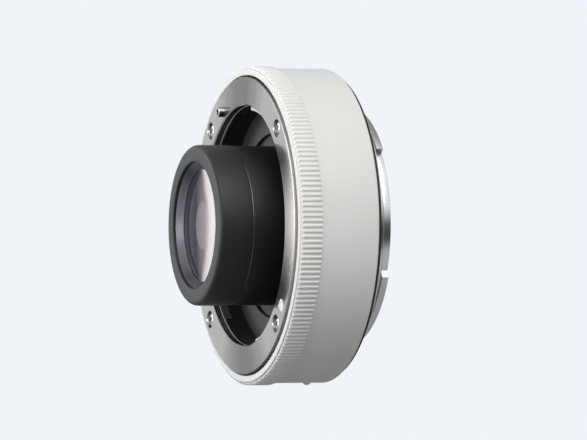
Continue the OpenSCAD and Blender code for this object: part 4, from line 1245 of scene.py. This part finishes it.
@dataclass
class Studio:
    """Camera, lamps, world and floor."""

    backdrop: Colour = srgb(240, 244, 249)
    floor_colour: Colour = srgb(236, 240, 245)
    ambient: float = 0.25
    dim_tone: float = 0.3
    dark_sky: float = 0.06
    dark_floor: float = 0.05
    floor_z: float = -0.052
    floor_tone: float = 0.31
    floor_shine: float = 0.15
    yaw: float = 20.58
    roll: float = 0.28
    distance: float = 1.0
    lens: float = 315.0
    sensor: float = 36.0
    shift_right: float = 9.93
    shift_up: float = 1.13
    lamps: tuple[Lamp, ...] = (
        Lamp("key_lamp", (0.66, -0.1, 0.745), 1.1, 0.9, 0.73),
        Lamp("front_lamp", (0.2, -0.97, 0.05), 1.3, 0.5, 0.5),
        Lamp("side_lamp", (-0.6, -0.78, 0.15), 1.3, 0.7, 0.48),
    )

    def camera(self) -> None:
        """Set the camera level with the part, where the photograph was taken from."""
        turn = math.radians(self.yaw)
        ahead = Vector((-math.cos(turn), math.sin(turn), 0))
        right = Vector((math.sin(turn), math.cos(turn), 0))
        target = Vector((0, -SIZES.face_h, self.shift_up)) * MM + right * self.shift_right * MM
        data = bpy.data.cameras.new("camera")
        data.lens = self.lens
        data.sensor_width = self.sensor
        data.clip_start, data.clip_end = 0.01, 20.0
        eye = bpy.data.objects.new("camera", data)
        bpy.context.scene.collection.objects.link(eye)
        eye.location = target - ahead * self.distance
        look = ahead.to_track_quat("-Z", "Y").to_matrix().to_4x4()
        eye.rotation_euler = (look @ Matrix.Rotation(math.radians(self.roll), 4, "Z")).to_euler()
        bpy.context.scene.camera = eye

    def zones(self, recipe: Recipe, dim: Socket, dark: Socket, dark_tone: float) -> Socket:
        """Give the backdrop's colour, which turns grey in a dim zone and nearly black in a dark one."""
        colour = recipe.blend(dim, self.backdrop, grey(self.dim_tone))
        return recipe.blend(dark, colour, grey(dark_tone))

    def world(self) -> None:
        """Light the part softly from all round, and show a pale background whose reflection has darker zones."""
        sky = bpy.data.worlds.new("studio")
        bpy.context.scene.world = sky
        sky.use_nodes = True
        recipe = Recipe(sky.node_tree)
        path = recipe.node("ShaderNodeLightPath")
        camera, glossy = recipe.out(path, "Is Camera Ray"), recipe.out(path, "Is Glossy Ray")
        across, back, high = recipe.axes(recipe.out(recipe.node("ShaderNodeTexCoord"), "Generated"))
        dark = recipe.spread(across, 0.2, 0.6) * (1.0 - recipe.spread(high, 0.05, 0.32)) * glossy
        dim = recipe.spread(back, 0.1, 0.3) * (1.0 - recipe.spread(across, -0.1, 0.3)) * glossy
        colour = self.zones(recipe, dim, dark, self.dark_sky)
        soft = recipe.node("ShaderNodeBackground", {"Color": grey(1.0), "Strength": self.ambient})
        shown = recipe.node("ShaderNodeBackground", {"Color": colour, "Strength": 1.0})
        mixed = recipe.mix(recipe.math("MAXIMUM", camera, glossy), soft, shown)
        recipe.node("ShaderNodeOutputWorld", {"Surface": recipe.out(mixed)})

    def floor(self) -> None:
        """Lay a pale floor that keeps the shadow near the part and fades into the background."""
        Bench.clear()
        bpy.ops.mesh.primitive_plane_add(size=8, location=(0, 0, self.floor_z))
        ground = Bench.settle("floor")
        paint = bpy.data.materials.new("floor_paint")
        paint.use_nodes = True
        recipe = Recipe(paint.node_tree)
        path = recipe.node("ShaderNodeLightPath")
        camera, glossy = recipe.out(path, "Is Camera Ray"), recipe.out(path, "Is Glossy Ray")
        lit = recipe.node("ShaderNodeBsdfDiffuse", {"Color": self.floor_colour})
        glow = recipe.node("ShaderNodeEmission", {"Color": self.backdrop, "Strength": 1.0})
        plain = recipe.node("ShaderNodeBsdfDiffuse", {"Color": grey(self.floor_tone)})
        share = recipe.math("MAXIMUM", camera, glossy * self.floor_shine)
        near = recipe.mix(share, plain, recipe.mix(0.5, lit, glow))
        across, back, _ = recipe.axes()
        dark, dim = recipe.spread(across, 0.05, 0.2) * glossy, recipe.spread(back, 0.05, 0.3) * glossy
        colour = self.zones(recipe, dim, dark, self.dark_floor)
        shown = recipe.node("ShaderNodeEmission", {"Color": colour, "Strength": 1.0})
        away = recipe.out(recipe.node("ShaderNodeVectorMath", {0: recipe.place()}, operation="LENGTH"), "Value")
        far = recipe.spread(away, 0.07, 0.17) * recipe.math("MAXIMUM", camera, glossy)
        recipe.node("ShaderNodeOutputMaterial", {"Surface": recipe.out(recipe.mix(far, near, shown))})
        ground.data.materials.append(paint)

    def build(self) -> None:
        """Set up the camera, the world, the floor and the lamps."""
        bpy.context.scene.view_settings.view_transform = "Standard"
        self.camera()
        self.world()
        self.floor()
        for lamp in self.lamps:
            lamp.build()


def main() -> None:
    """Build the part's pieces in order, then the studio."""
    logging.basicConfig(level=logging.INFO, format="%(name)s: %(message)s")
    for assembly in (GripBand(), FrontMount(), Nose(), Barrel(), RearMount(), Inside()):
        log.info("building %s", type(assembly).__name__)
        assembly.build()
    Studio().build()


if __name__ == "__main__":
    main()
